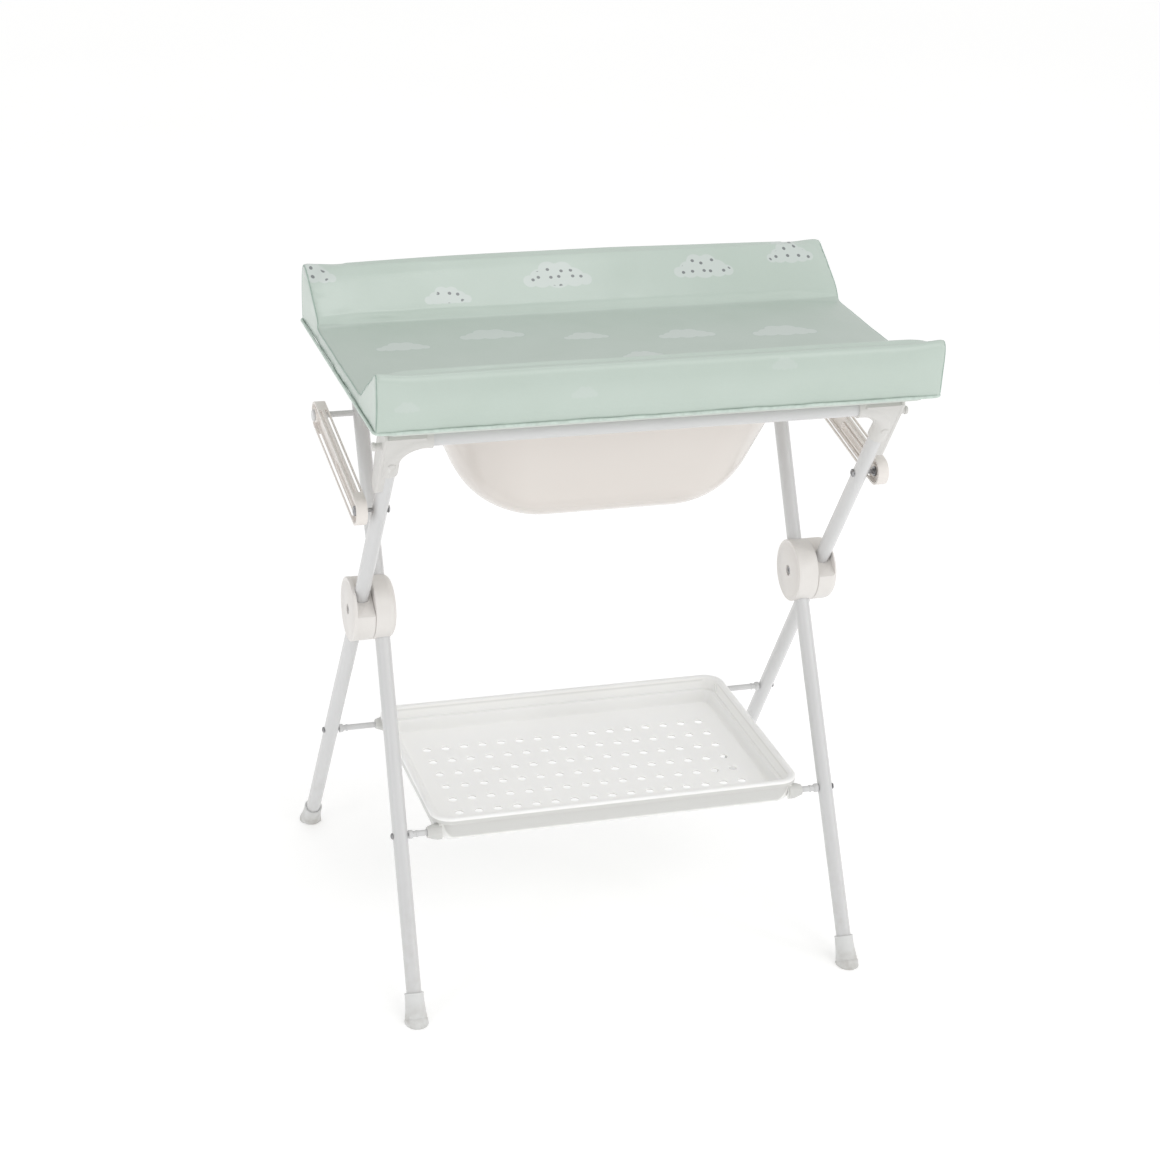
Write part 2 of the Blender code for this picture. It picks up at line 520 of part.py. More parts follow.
# ---------------------------------------------------------------- tray
def build_tray():
    a, b, r = TRAY_HALF_X, TRAY_HALF_Y, TRAY_CORNER
    h = TRAY_TOP - TRAY_BOTTOM
    rim, wall = TRAY_RIM, TRAY_WALL
    # (inset from the outline, height): up the outside, over the rim, down the inside
    loops = ((0.0180, TRAY_BOTTOM), (0.0130, TRAY_BOTTOM + 0.0012), (0.0095, TRAY_BOTTOM + 0.0050),
             (0.0050, TRAY_TOP - 0.0120), (0.0018, TRAY_TOP - 0.0110), (0.0000, TRAY_TOP - 0.0060),
             (0.0006, TRAY_TOP - 0.0012), (0.0022, TRAY_TOP),
             (rim, TRAY_TOP), (rim + 0.0022, TRAY_TOP - 0.0022), (rim + 0.0050, TRAY_TOP - h * 0.42),
             (rim + 0.0115, TRAY_TOP - h * 0.48), (rim + 0.0140, TRAY_BOTTOM + TRAY_FLOOR + 0.0030),
             (rim + 0.0170, TRAY_BOTTOM + TRAY_FLOOR))
    bm = bmesh.new()
    rings = [[bm.verts.new((x, y, z)) for x, y in round_rect(a - d, b - d, max(r - d * 0.7, 0.012), TRAY_Y, 5)]
             for d, z in loops]
    bridge(bm, rings)
    tray = part("tray", bm, "tray", AXIS_TRAY)

    holes = bmesh.new()
    for col in range(HOLE_COLS):
        for row in range(HOLE_ROWS):
            x = (col - (HOLE_COLS - 1) / 2) * HOLE_PITCH_X
            y = TRAY_Y + (row - (HOLE_ROWS - 1) / 2) * HOLE_PITCH_Y
            rings = [[holes.verts.new((x + HOLE_R * math.cos(t), y + HOLE_R * math.sin(t), z))
                      for t in (2 * math.pi * k / 6 for k in range(6))] for z in (TRAY_BOTTOM - 0.01, TRAY_BOTTOM + 0.012)]
            bridge(holes, rings)
    boolean(tray, cutter("tray_floor_holes", holes))

    for side, word in SIDES:
        for where, frame, z, body in (("front", "inner", SPINDLE_FRONT_Z, None), ("rear", "outer", SPINDLE_REAR_Z, AXIS_FOLD)):
            leg = leg_at(side, frame, z)
            wall_x = TRAY_HALF_X - 0.0130
            tip_x = TRAY_HALF_X + 0.0070
            name = "_".join((word, where))
            boss = ((0.0118, wall_x - 0.001), (0.0112, TRAY_HALF_X - 0.002), (0.0086, tip_x - 0.001), (0.0078, tip_x))
            boolean(tray, cutter(name + "_boss", lathe(boss, (0, leg.y, z), (side, 0, 0), 20)), "UNION")
        for where, frame, z, body in (("front", "inner", SPINDLE_FRONT_Z, None), ("rear", "outer", SPINDLE_REAR_Z, AXIS_FOLD)):
            leg = leg_at(side, frame, z)
            wall_x = TRAY_HALF_X - 0.0090
            name = "_".join((word, where))
            hole = rod((side * wall_x, leg.y, z), (side * 0.31, leg.y, z), SPINDLE_R + 0.0004, 16)
            if where == "rear":
                # open below and to the front, so the tray lifts off this spindle as the frame closes
                tilt = math.radians(23)
                w = SPINDLE_R + 0.0008
                ahead, down = Vector((0, -math.sin(tilt), -math.cos(tilt))), Vector((0, -math.cos(tilt), math.sin(tilt)))
                c = Vector((0, leg.y, z))
                corners = [c + down * w, c - down * w, c - down * w + ahead * 0.03, c + down * w + ahead * 0.03]
                x0, x1 = sorted((side * wall_x, side * 0.31))
                boolean(tray, cutter(name + "_notch", prism([(p.y, p.z) for p in corners], x0, x1)))
            boolean(tray, cutter(name + "_bore", hole))
            near = abs(leg.x) - TUBE_R - 0.0012
            profile = ((SPINDLE_R, wall_x + 0.0008), (SPINDLE_R, tip_x_for(near)), (0.0066, tip_x_for(near)),
                       (0.0066, near))
            spindle = part(name + "_spindle", lathe(profile, (0, leg.y, z), (side, 0, 0), 18), "paint", body)
            boolean(spindle, cutter(name + "_spindle_bore", rod((side * (near - 0.012), leg.y, z),
                                                                (side * (near + 0.01), leg.y, z), 0.0025, 10)))
            out = abs(leg.x) + TUBE_R
            profile = ((0.0022, near - 0.010), (0.0022, out + GAP), (0.0046, out + GAP), (0.0046, out + 0.0012),
                       (0.0036, out + 0.0026), (0.0018, out + 0.0030))
            part(name + "_leg_screw", lathe(profile, (0, leg.y, z), (side, 0, 0), 14), "steel", body)


def tip_x_for(near):
    return near - 0.0050


# ---------------------------------------------------------------- tub
def bowl_profile(top_half, bottom_half, top_z, bottom_z, r):
    """(half size, z) points up one side of the bowl: a flat bottom, a round corner and a straight sloping wall."""
    corner = Vector((bottom_half, bottom_z))
    up = (Vector((top_half, top_z)) - corner).normalized()
    across = Vector((-1.0, 0.0))
    half_angle = up.angle(across) / 2
    reach = r / math.tan(half_angle)
    centre = corner + (up + across).normalized() * (r / math.sin(half_angle))
    start, end = corner + across * reach, corner + up * reach
    a0 = math.atan2(start.y - centre.y, start.x - centre.x)
    a1 = math.atan2(end.y - centre.y, end.x - centre.x)
    return centre, a0, a1, Vector((top_half, top_z))


def half_at(shape, z, r):
    """Half size of the bowl at a height."""
    centre, a0, a1, top = shape
    end = centre + Vector((math.cos(a1), math.sin(a1))) * r
    if z >= end.y:
        t = (z - end.y) / (top.y - end.y)
        return end.x + (top.x - end.x) * t
    dz = min(max(centre.y - z, 0.0), r)
    return centre.x + math.sqrt(max(r * r - dz * dz, 0.0))


def build_tub():
    bm = bmesh.new()
    rings = []

    def add(a, b, r, cy, z):
        rings.append([bm.verts.new((x, y, z)) for x, y in round_rect(a, b, r, cy, 7)])

    def shell(inset, bottom, top, levels):
        shape_x = bowl_profile(TUB_HALF_X[0] - inset, TUB_HALF_X[1] - inset, TUB_TOP, bottom, TUB_ROUND_X)
        shape_y = bowl_profile(TUB_HALF_Y[0] - inset, TUB_HALF_Y[1] - inset, TUB_TOP, bottom, TUB_ROUND_Y)
        out = []
        for t in levels:
            z = bottom + (top - bottom) * t
            a, b = half_at(shape_x, z, TUB_ROUND_X), half_at(shape_y, z, TUB_ROUND_Y)
            out.append((a, b, min(b * 0.92, 0.135), TUB_Y, z))
        return out

    levels = (0.0, 0.012, 0.05, 0.11, 0.19, 0.30, 0.42, 0.62, 0.82, 1.0)
    for ring_data in shell(0.0, TUB_BOTTOM, TUB_TOP, levels):
        add(*ring_data)
    rim_b = (RIM_Y[1] - RIM_Y[0]) / 2
    rim_cy = (RIM_Y[1] + RIM_Y[0]) / 2
    add(RIM_HALF_X - 0.0012, rim_b - 0.0012, 0.070, rim_cy, TUB_TOP)
    add(RIM_HALF_X, rim_b, 0.071, rim_cy, TUB_TOP + 0.0012)
    add(RIM_HALF_X, rim_b, 0.071, rim_cy, TUB_TOP + RIM_T - 0.0012)
    add(RIM_HALF_X - 0.0012, rim_b - 0.0012, 0.070, rim_cy, TUB_TOP + RIM_T)
    top_a, top_b = TUB_HALF_X[0], TUB_HALF_Y[0]
    for out, z in ((BEAD_W, TUB_TOP + RIM_T), (BEAD_W - 0.0012, BEAD_TOP - 0.0040), (BEAD_W * 0.62, BEAD_TOP - 0.0006),
                   (BEAD_W * 0.40, BEAD_TOP), (BEAD_W * 0.12, BEAD_TOP - 0.0006), (-0.0012, BEAD_TOP - 0.0035)):
        add(top_a + out, top_b + out, 0.135 + out, TUB_Y, z)
    inside = shell(TUB_WALL, TUB_BOTTOM + TUB_WALL, TUB_TOP, levels)
    for ring_data in reversed(inside):
        add(*ring_data)
    bridge(bm, rings)
    tub = part("tub", bm, "tub", AXIS_TUB)
    boolean(tub, cutter("drain_hole", rod((DRAIN_X, DRAIN_Y, TUB_BOTTOM - 0.02), (DRAIN_X, DRAIN_Y, TUB_BOTTOM + 0.02),
                                          DRAIN_R, 18)))
    floor = TUB_BOTTOM + TUB_WALL
    profile = ((DRAIN_R - 0.0022, -0.0050), (DRAIN_R - 0.0006, -0.0030), (DRAIN_R - 0.0006, floor - TUB_BOTTOM + GAP),
               (DRAIN_R + 0.0035, floor - TUB_BOTTOM + GAP), (DRAIN_R + 0.0030, floor - TUB_BOTTOM + 0.0030),
               (0.0060, floor - TUB_BOTTOM + 0.0036), (0.0045, floor - TUB_BOTTOM + 0.0100),
               (0.0065, floor - TUB_BOTTOM + 0.0130), (0.0045, floor - TUB_BOTTOM + 0.0150))
    part("drain_plug", lathe(profile, (DRAIN_X, DRAIN_Y, TUB_BOTTOM), (0, 0, 1), 18), "foot", AXIS_PLUG)

    for side, word in SIDES:
        # a ring round the rear rail with a tongue under the rim
        x0, x1 = side * CLIP_X - CLIP_HALF, side * CLIP_X + CLIP_HALF
        origin = Vector((x0, REAR_RAIL.y, REAR_RAIL.z))
        ring_r = 0.0146
        clip = part(word + "_tub_clip", lathe_ring(((ring_r, 0), (ring_r, x1 - x0)),
                                                   ((TUBE_R + 0.0004, 0), (TUBE_R + 0.0004, x1 - x0)), origin, (1, 0, 0), 32),
                    "plastic", AXIS_TUB)
        tongue = box((x0, x1), (REAR_RAIL.y - 0.0230, REAR_RAIL.y - 0.0045), (TUB_TOP - 0.0032, TUB_TOP - GAP))
        boolean(clip, cutter(word + "_tub_clip_tongue", tongue), "UNION")
        # a pad that carries the rim on the front rail
        top = FRONT_RAIL.z + TUBE_R
        part(word + "_rim_pad", box((side * 0.20 - 0.02, side * 0.20 + 0.02), (FRONT_RAIL.y - 0.008, FRONT_RAIL.y + 0.012),
                                    (top + GAP, TUB_TOP - GAP)), "foot", AXIS_TUB)


# ---------------------------------------------------------------- mat
def build_mat():
    bm = bmesh.new()
    stations = (-1.0, -0.985, -0.6, 0.0, 0.6, 0.985, 1.0)
    rings = []
    for s in stations:
        tuck = 0.0035 if abs(s) == 1.0 else 0.0
        row = []
        for y, z in MAT_SECTION:
            cy, cz = -0.042, 0.93
            bow = 0.006 * (1 - s * s) if z > 0.975 and y > 0 else 0.0
            yy = y + (tuck if y < cy else -tuck)
            zz = z + (tuck * 0.6 if z < cz - 0.02 else -tuck * 0.6) + bow
            row.append(bm.verts.new((s * MAT_HALF_X, yy, zz)))
        rings.append(row)
    bridge(bm, rings)
    part("mat_pad", bm, "mat", AXIS_MAT)
    part("mat_board", box((-BOARD_HALF_X, BOARD_HALF_X), BOARD_Y, BOARD_Z), "board", AXIS_MAT)
    for side, word in SIDES:
        cx = side * HINGE_X
        axis = Vector((0, HINGE_Y, HINGE_Z))
        # the half on the tub: a plate on the rim, two knuckles and the pin
        base = part(word + "_mat_hinge_base", box((cx - 0.017, cx + 0.017), (HINGE_Y - 0.0240, HINGE_Y - 0.0056),
                                                  (TUB_TOP + RIM_T + GAP, TUB_TOP + RIM_T + 0.0025)), "steel", AXIS_TUB)
        for i, (x0, x1) in enumerate(((cx - 0.017, cx - 0.0075), (cx + 0.0075, cx + 0.017))):
            boolean(base, cutter("%s_base_knuckle_%d" % (word, i), rod((x0, axis.y, axis.z), (x1, axis.y, axis.z), KNUCKLE_R, 16)),
                    "UNION")
            web = box((x0, x1), (HINGE_Y - 0.0085, HINGE_Y - 0.0022), (TUB_TOP + RIM_T + GAP + 0.0005, HINGE_Z))
            boolean(base, cutter("%s_base_web_%d" % (word, i), web), "UNION")
        boolean(base, cutter(word + "_hinge_pin", rod((cx - 0.012, axis.y, axis.z), (cx + 0.012, axis.y, axis.z), PIN_R, 12)),
                "UNION")
        # the half under the board: a plate and one knuckle
        leaf = part(word + "_mat_hinge_leaf", box((cx - 0.0070, cx + 0.0070), (HINGE_Y - 0.0250, HINGE_Y),
                                                  (HINGE_Z + 0.0024, BOARD_Z[0] - GAP)), "steel", AXIS_MAT)
        boolean(leaf, cutter(word + "_leaf_knuckle", rod((cx - 0.0070, axis.y, axis.z), (cx + 0.0070, axis.y, axis.z),
                                                         KNUCKLE_R, 16)), "UNION")
        boolean(leaf, cutter(word + "_leaf_bore", rod((cx - 0.012, axis.y, axis.z), (cx + 0.012, axis.y, axis.z), PIN_R + GAP, 12)))


build_leg_frames()
build_hubs()
build_brackets()
build_arms()
build_tray()
build_tub()
build_mat()
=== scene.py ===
"""Looks of the folding changing table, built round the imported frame.

Metres, +X along the table, +Y to the back, +Z up, in the frame's own axes.
"""
import json
import math

import bmesh
import bpy
from mathutils import Matrix, Vector, noise
from mathutils.bvhtree import BVHTree


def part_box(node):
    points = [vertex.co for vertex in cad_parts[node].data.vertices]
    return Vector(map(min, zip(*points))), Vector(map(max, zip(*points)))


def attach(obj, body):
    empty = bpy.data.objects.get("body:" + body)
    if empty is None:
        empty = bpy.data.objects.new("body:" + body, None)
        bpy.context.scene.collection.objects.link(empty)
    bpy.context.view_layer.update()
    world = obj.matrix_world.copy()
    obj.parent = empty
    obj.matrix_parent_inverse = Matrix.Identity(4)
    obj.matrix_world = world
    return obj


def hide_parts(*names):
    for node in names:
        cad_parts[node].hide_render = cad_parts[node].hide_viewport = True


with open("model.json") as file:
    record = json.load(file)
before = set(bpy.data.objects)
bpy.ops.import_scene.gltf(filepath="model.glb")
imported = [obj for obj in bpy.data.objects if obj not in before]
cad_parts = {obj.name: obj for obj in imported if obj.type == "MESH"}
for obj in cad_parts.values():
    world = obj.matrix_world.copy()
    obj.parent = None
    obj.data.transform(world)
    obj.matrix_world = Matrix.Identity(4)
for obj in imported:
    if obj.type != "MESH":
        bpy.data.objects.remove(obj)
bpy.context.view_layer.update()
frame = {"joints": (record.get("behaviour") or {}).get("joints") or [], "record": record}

SIDES = ((-1, "left"), (1, "right"))
RECORD = frame["record"]
JOINT_AT = {j["name"]: Vector(j["pos_m"]) for j in frame["joints"] if "pos_m" in j}
MOUNT_AT = {m["name"]: Vector(m["pos_m"]) for m in RECORD["mounts"]}

# ---------------------------------------------------------------- sizes that the frame fixes
TUBE_R = 0.011
HUB = JOINT_AT["frame_fold"]
REAR_RAIL = JOINT_AT["tub_tilt"]
MAT_HINGE = JOINT_AT["mat_tilt"]
ARM_REAR = JOINT_AT["left_arm_swing"]
FRONT_RAIL = Vector((0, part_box("front_rail_tube")[0].y + TUBE_R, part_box("front_rail_tube")[1].z - TUBE_R))
OUTER_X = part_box("front_rail_tube")[1].x - TUBE_R
INNER_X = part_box("rear_rail_tube")[1].x - TUBE_R
OUTER_UP = (FRONT_RAIL - Vector((0, HUB.y, HUB.z))).normalized()
INNER_UP = (REAR_RAIL - Vector((0, HUB.y, HUB.z))).normalized()
FRONT_REACH = (FRONT_RAIL - HUB).length
REAR_REACH = (REAR_RAIL - HUB).length
SLIDER_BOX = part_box("left_arm_slider")
ARM_FRONT = Vector((0, (SLIDER_BOX[0].y + SLIDER_BOX[1].y) / 2, (SLIDER_BOX[0].z + SLIDER_BOX[1].z) / 2))
ARM_REAR = Vector((0, ARM_REAR.y, ARM_REAR.z))
ARM_DIR = (ARM_FRONT - ARM_REAR).normalized()
SLOT_TRAVEL = next(j for j in frame["joints"] if j["name"] == "left_arm_slide")["range_m"][1]

BEND_R = 0.045
TUBE_START = 0.017
FOOT_GRIP = 0.012


# ---------------------------------------------------------------- mesh helpers
def new_object(name, bm, sharp=38):
    bmesh.ops.recalc_face_normals(bm, faces=bm.faces)
    me = bpy.data.meshes.new(name)
    bm.to_mesh(me)
    bm.free()
    me.shade_smooth()
    me.set_sharp_from_angle(angle=math.radians(sharp))
    ob = bpy.data.objects.new(name, me)
    bpy.context.scene.collection.objects.link(ob)
    return ob


def apply_modifiers(ob, sharp=38):
    """Bakes the object's modifiers into its mesh."""
    dg = bpy.context.evaluated_depsgraph_get()
    me = bpy.data.meshes.new_from_object(ob.evaluated_get(dg), depsgraph=dg)
    old = ob.data
    ob.modifiers.clear()
    ob.data = me
    me.name = ob.name
    bpy.data.meshes.remove(old)
    me.shade_smooth()
    me.set_sharp_from_angle(angle=math.radians(sharp))
    return ob


def combine(ob, tool, operation):
    """Cuts or joins one piece with another, which is used up."""
    mod = ob.modifiers.new(operation.lower(), "BOOLEAN")
    mod.operation = operation
    mod.solver = "EXACT"
    mod.object = tool
    apply_modifiers(ob)
    bpy.data.objects.remove(tool, do_unlink=True)
    return ob


def cut(ob, tool):
    return combine(ob, tool, "DIFFERENCE")


def join(ob, tool):
    return combine(ob, tool, "UNION")


def soften(ob, width, segments=3, angle=40, sharp=38):
    """Rounds the edges of a piece."""
    weld = ob.modifiers.new("weld", "WELD")
    weld.merge_threshold = 0.00002
    mod = ob.modifiers.new("round", "BEVEL")
    mod.width = width
    mod.segments = segments
    mod.limit_method = "ANGLE"
    mod.angle_limit = math.radians(angle)
    mod.use_clamp_overlap = True
    mod.harden_normals = False
    return apply_modifiers(ob, sharp)


def arc(cx, cy, r, a0, a1, steps=8):
    """Points along an arc, angles in degrees."""
    return [(cx + r * math.cos(math.radians(a0 + (a1 - a0) * i / steps)),
             cy + r * math.sin(math.radians(a0 + (a1 - a0) * i / steps))) for i in range(steps + 1)]


def ring(bm, centre, along, radius, sides):
    along = Vector(along).normalized()
    side = Vector((1, 0, 0)) if abs(along.x) < 0.9 else Vector((0, 1, 0))
    u = (side - along * side.dot(along)).normalized()
    v = along.cross(u)
    centre = Vector(centre)
    return [bm.verts.new(centre + radius * (math.cos(a) * u + math.sin(a) * v))
            for a in (2 * math.pi * i / sides for i in range(sides))]


def bridge(bm, rings, closed_ends=True, loop=False):
    count = len(rings[0])
    pairs = list(zip(rings[:-1], rings[1:]))
    if loop:
        pairs.append((rings[-1], rings[0]))
    for one, two in pairs:
        for i in range(count):
            j = (i + 1) % count
            bm.faces.new((one[i], one[j], two[j], two[i]))
    if closed_ends and not loop:
        bm.faces.new(list(reversed(rings[0])))
        bm.faces.new(rings[-1])


def lathe(name, profile, origin, along, sides=64, sharp=38):
    """A turned solid. profile holds (radius, distance) pairs from one end to the other."""
    bm = bmesh.new()
    along = Vector(along).normalized()
    bridge(bm, [ring(bm, Vector(origin) + along * d, along, r, sides) for r, d in profile])
    return new_object(name, bm, sharp)


def lathe_ring(name, profile, origin, along, sides=64, sharp=38):
    """A turned solid with a bore: the profile goes once round its section."""
    bm = bmesh.new()
    along = Vector(along).normalized()
    bridge(bm, [ring(bm, Vector(origin) + along * d, along, r, sides) for r, d in profile], loop=True)
    return new_object(name, bm, sharp)


def rod(name, start, end, radius, sides=48):
    start, end = Vector(start), Vector(end)
    return lathe(name, ((radius, 0), (radius, (end - start).length)), start, end - start, sides)


def sweep(name, path, radius, sides=40, sharp=60, closed=False):
    """A solid round bar along a path, or a closed loop of bar. radius is a number or a function of the share run."""
    path = [Vector(p) for p in path]
    n = len(path)
    bm = bmesh.new()
    rings = []
    up = None
    for i, p in enumerate(path):
        before = path[i - 1] if (i or closed) else p
        after = path[(i + 1) % n] if (i < n - 1 or closed) else p
        d = (after - before).normalized()
        if up is None:
            up = d.orthogonal().normalized()
        up = (up - d * up.dot(d)).normalized()
        v = d.cross(up)
        r = radius(i / (n - 1)) if callable(radius) else radius
        rings.append([bm.verts.new(p + r * (math.cos(a) * up + math.sin(a) * v))
                      for a in (2 * math.pi * k / sides for k in range(sides))])
    if closed:
        first = rings[0]
        last = rings[-1]
        shift = min(range(sides), key=lambda s: (last[0].co - path[-1] - (first[s].co - path[0])).length)
        rings.append(first[shift:] + first[:shift])
        bridge(bm, rings, closed_ends=False)
    else:
        bridge(bm, rings)
    return new_object(name, bm, sharp)


def box(name, x, y, z):
    bm = bmesh.new()
    for v in bmesh.ops.create_cube(bm, size=1.0)["verts"]:
        v.co = Vector((x[0] + (v.co.x + 0.5) * (x[1] - x[0]), y[0] + (v.co.y + 0.5) * (y[1] - y[0]),
                       z[0] + (v.co.z + 0.5) * (z[1] - z[0])))
    return new_object(name, bm)


def prism(name, outline, x0, x1):
    """An outline in the YZ plane pushed along X."""
    bm = bmesh.new()
    bridge(bm, [[bm.verts.new((x, y, z)) for y, z in outline] for x in sorted((x0, x1))])
    return new_object(name, bm)


def stadium(one, two, half, steps=20):
    """The outline round two points of the YZ plane at a distance."""
    heading = math.degrees(math.atan2(two.z - one.z, two.y - one.y))
    return (arc(two.y, two.z, half, heading - 90, heading + 90, steps)
            + arc(one.y, one.z, half, heading + 90, heading + 270, steps))


def round_rect(a, b, r, cy, steps=14):
    """A rounded rectangle in XY, half sizes a and b, its middle at (0, cy)."""
    r = min(r, a * 0.999, b * 0.999)
    out = []
    for sx, sy, base in ((1, -1, -90), (1, 1, 0), (-1, 1, 90), (-1, -1, 180)):
        out += arc(sx * (a - r), cy + sy * (b - r), r, base, base + 90, steps)
    return out


def place(ob, body, material, slot, *nodes):
    """Gives a piece its body, finish and the frame's pieces that it stands for."""
    ob.data.materials.clear()
    ob.data.materials.append(material)
    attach(ob, body)
    if nodes:
        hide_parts(*nodes)
    return ob


def hub_at(side, x):
    return Vector((side * x, HUB.y, HUB.z))


def foot_at(side, where):
    return MOUNT_AT[("left" if side < 0 else "right") + "_" + where + "_foot_base"].copy()


def leg_at(side, where, z):
    """The point of a lower leg's axis at a height. Front feet are on the inner legs."""
    hub = hub_at(side, INNER_X if where == "front" else OUTER_X)
    foot = foot_at(side, where)
    return foot + (hub - foot) * (z / HUB.z)


# ---------------------------------------------------------------- material helpers
class Nodes:
    """A short way to write a node tree."""

    def __init__(self, name):
        self.material = bpy.data.materials.new(name)
        self.material.use_nodes = True
        self.tree = self.material.node_tree
        self.shader = self.tree.nodes["Principled BSDF"]
        self.coords = self.tree.nodes.new("ShaderNodeTexCoord").outputs["Object"]

    def node(self, kind, **settings):
        node = self.tree.nodes.new(kind)
        for key, value in settings.items():
            setattr(node, key, value)
        return node

    def feed(self, socket, value):
        if isinstance(value, bpy.types.NodeSocket):
            self.tree.links.new(value, socket)
        else:
            socket.default_value = value

    def math(self, operation, a, b=0.0, clamp=False):
        node = self.node("ShaderNodeMath", operation=operation, use_clamp=clamp)
        self.feed(node.inputs[0], a)
        self.feed(node.inputs[1], b)
        return node.outputs[0]

    def noise(self, scale, detail=2.0, stretch=None, distortion=0.0):
        node = self.node("ShaderNodeTexNoise")
        self.feed(node.inputs["Vector"], self.scaled(stretch) if stretch else self.coords)
        node.inputs["Scale"].default_value = scale
        node.inputs["Detail"].default_value = detail
        node.inputs["Distortion"].default_value = distortion
        return node.outputs[0]

    def cells(self, scale, feature="F1", randomness=1.0, vector=None, dimensions="3D"):
        node = self.node("ShaderNodeTexVoronoi", feature=feature, voronoi_dimensions=dimensions)
        self.feed(node.inputs["Vector"], vector or self.coords)
        node.inputs["Scale"].default_value = scale
        node.inputs["Randomness"].default_value = randomness
        return node.outputs["Distance"]

    def scaled(self, scale):
        node = self.node("ShaderNodeMapping")
        self.feed(node.inputs["Vector"], self.coords)
        node.inputs["Scale"].default_value = scale
        return node.outputs[0]

    def axis(self, letter):
        node = self.node("ShaderNodeSeparateXYZ")
        self.feed(node.inputs[0], self.coords)
        return node.outputs["XYZ".index(letter)]

    def spread(self, value, low, high, to_low=0.0, to_high=1.0):
        """Maps a range of a value to another, held at its ends."""
        node = self.node("ShaderNodeMapRange", clamp=True)
        self.feed(node.inputs[0], value)
        for i, number in enumerate((low, high, to_low, to_high)):
            node.inputs[i + 1].default_value = number
        return node.outputs[0]

    def blend(self, share, a, b, how="MIX"):
        node = self.node("ShaderNodeMix", data_type="RGBA", blend_type=how)
        self.feed(node.inputs[0], share)
        for socket, colour in ((node.inputs[6], a), (node.inputs[7], b)):
            self.feed(socket, colour if isinstance(colour, bpy.types.NodeSocket) else (*colour, 1.0))
        return node.outputs[2]

    def bump(self, height, strength, distance, below=None):
        node = self.node("ShaderNodeBump")
        node.inputs["Strength"].default_value = strength
        node.inputs["Distance"].default_value = distance
        self.feed(node.inputs["Height"], height)
        if below is not None:
            self.feed(node.inputs["Normal"], below)
        return node.outputs[0]

    def done(self, colour, roughness, normal, **constants):
        self.feed(self.shader.inputs["Base Color"], colour)
        self.feed(self.shader.inputs["Roughness"], roughness)
        self.feed(self.shader.inputs["Normal"], normal)
        for key, value in constants.items():
            self.shader.inputs[key.replace("_", " ")].default_value = value
        return self.material


def edge_wear(n, amount):
    """A mask on convex edges, broken up by noise."""
    convex = n.node("ShaderNodeNewGeometry").outputs["Pointiness"]
    return n.math("MULTIPLY", n.spread(convex, 0.56, 0.66), n.spread(n.noise(90, 3), 0.45, 0.75, 0.0, amount))


def moulded(name, light, dark, rough, grain=900, grain_bump=0.06, dust_below=None, wear=0.45, painted_wall_shade=None,
            **constants):
    """Injection moulded plastic: a fine spark grain, faint flow shading and paler rubbed edges."""
    n = Nodes(name)
    fine = n.noise(38, 2)
    colour = n.blend(n.spread(n.noise(5, 1), 0.30, 0.70), light, dark)
    colour = n.blend(n.spread(fine, 0.35, 0.80, 0.0, 0.12), colour, dark)
    if wear:
        colour = n.blend(edge_wear(n, wear), colour, (0.95, 0.95, 0.94))
    # painted shade: the tray's outer walls and underside are darkened to 0.68 of the light tone
    if painted_wall_shade:
        colour = n.blend(painted_wall_shade(n), colour, tuple(0.68 * c for c in light))
    if dust_below is not None:
        dust = n.math("MULTIPLY", n.spread(n.axis("Z"), dust_below, 0.0), n.spread(n.noise(60, 4), 0.35, 0.75))
        colour = n.blend(dust, colour, (0.42, 0.40, 0.37))
    roughness = n.math("ADD", n.spread(n.noise(26, 3), 0.3, 0.7, rough - 0.04, rough + 0.05),
                       n.spread(fine, 0.4, 0.8, 0.0, 0.05))
    normal = n.bump(n.noise(grain, 2), grain_bump, 0.0005, n.bump(n.noise(9, 1), 0.03, 0.004))
    return n.done(colour, roughness, normal, **constants)


def painted(name, light, dark, rough=0.36):
    """Powder coated steel: soft orange peel, faint thickness shading, dust on the lowest stretch."""
    n = Nodes(name)
    colour = n.blend(n.spread(n.noise(5, 3), 0.35, 0.68), light, dark)
    dust = n.math("MULTIPLY", n.spread(n.axis("Z"), 0.22, 0.02), n.spread(n.noise(80, 5), 0.40, 0.75, 0.0, 0.45))
    colour = n.blend(dust, colour, (0.52, 0.50, 0.47))
    scuffs = n.spread(n.noise(45, 5, (1.0, 1.0, 0.25), 0.6), 0.70, 0.76, 0.0, 0.22)
    colour = n.blend(scuffs, colour, (0.56, 0.56, 0.57))
    roughness = n.math("ADD", n.spread(n.noise(18, 3), 0.3, 0.7, rough - 0.04, rough + 0.04), scuffs)
    normal = n.bump(n.noise(420, 2), 0.06, 0.0004)
    return n.done(colour, roughness, normal, Coat_Weight=0.5, Coat_Roughness=0.08)


def metal(name, light, dark, rough=0.33):
    """Plated steel with a turned, slightly stained surface."""
    n = Nodes(name)
    colour = n.blend(n.spread(n.noise(160, 4), 0.35, 0.70), light, dark)
    colour = n.blend(n.spread(n.noise(45, 3), 0.55, 0.80, 0.0, 0.5), colour, (0.20, 0.18, 0.16))
    roughness = n.spread(n.noise(300, 3), 0.3, 0.7, rough - 0.08, rough + 0.12)
    normal = n.bump(n.noise(700, 3, (1.0, 0.15, 0.15)), 0.12, 0.0004)
    return n.done(colour, roughness, normal, Metallic=1.0)


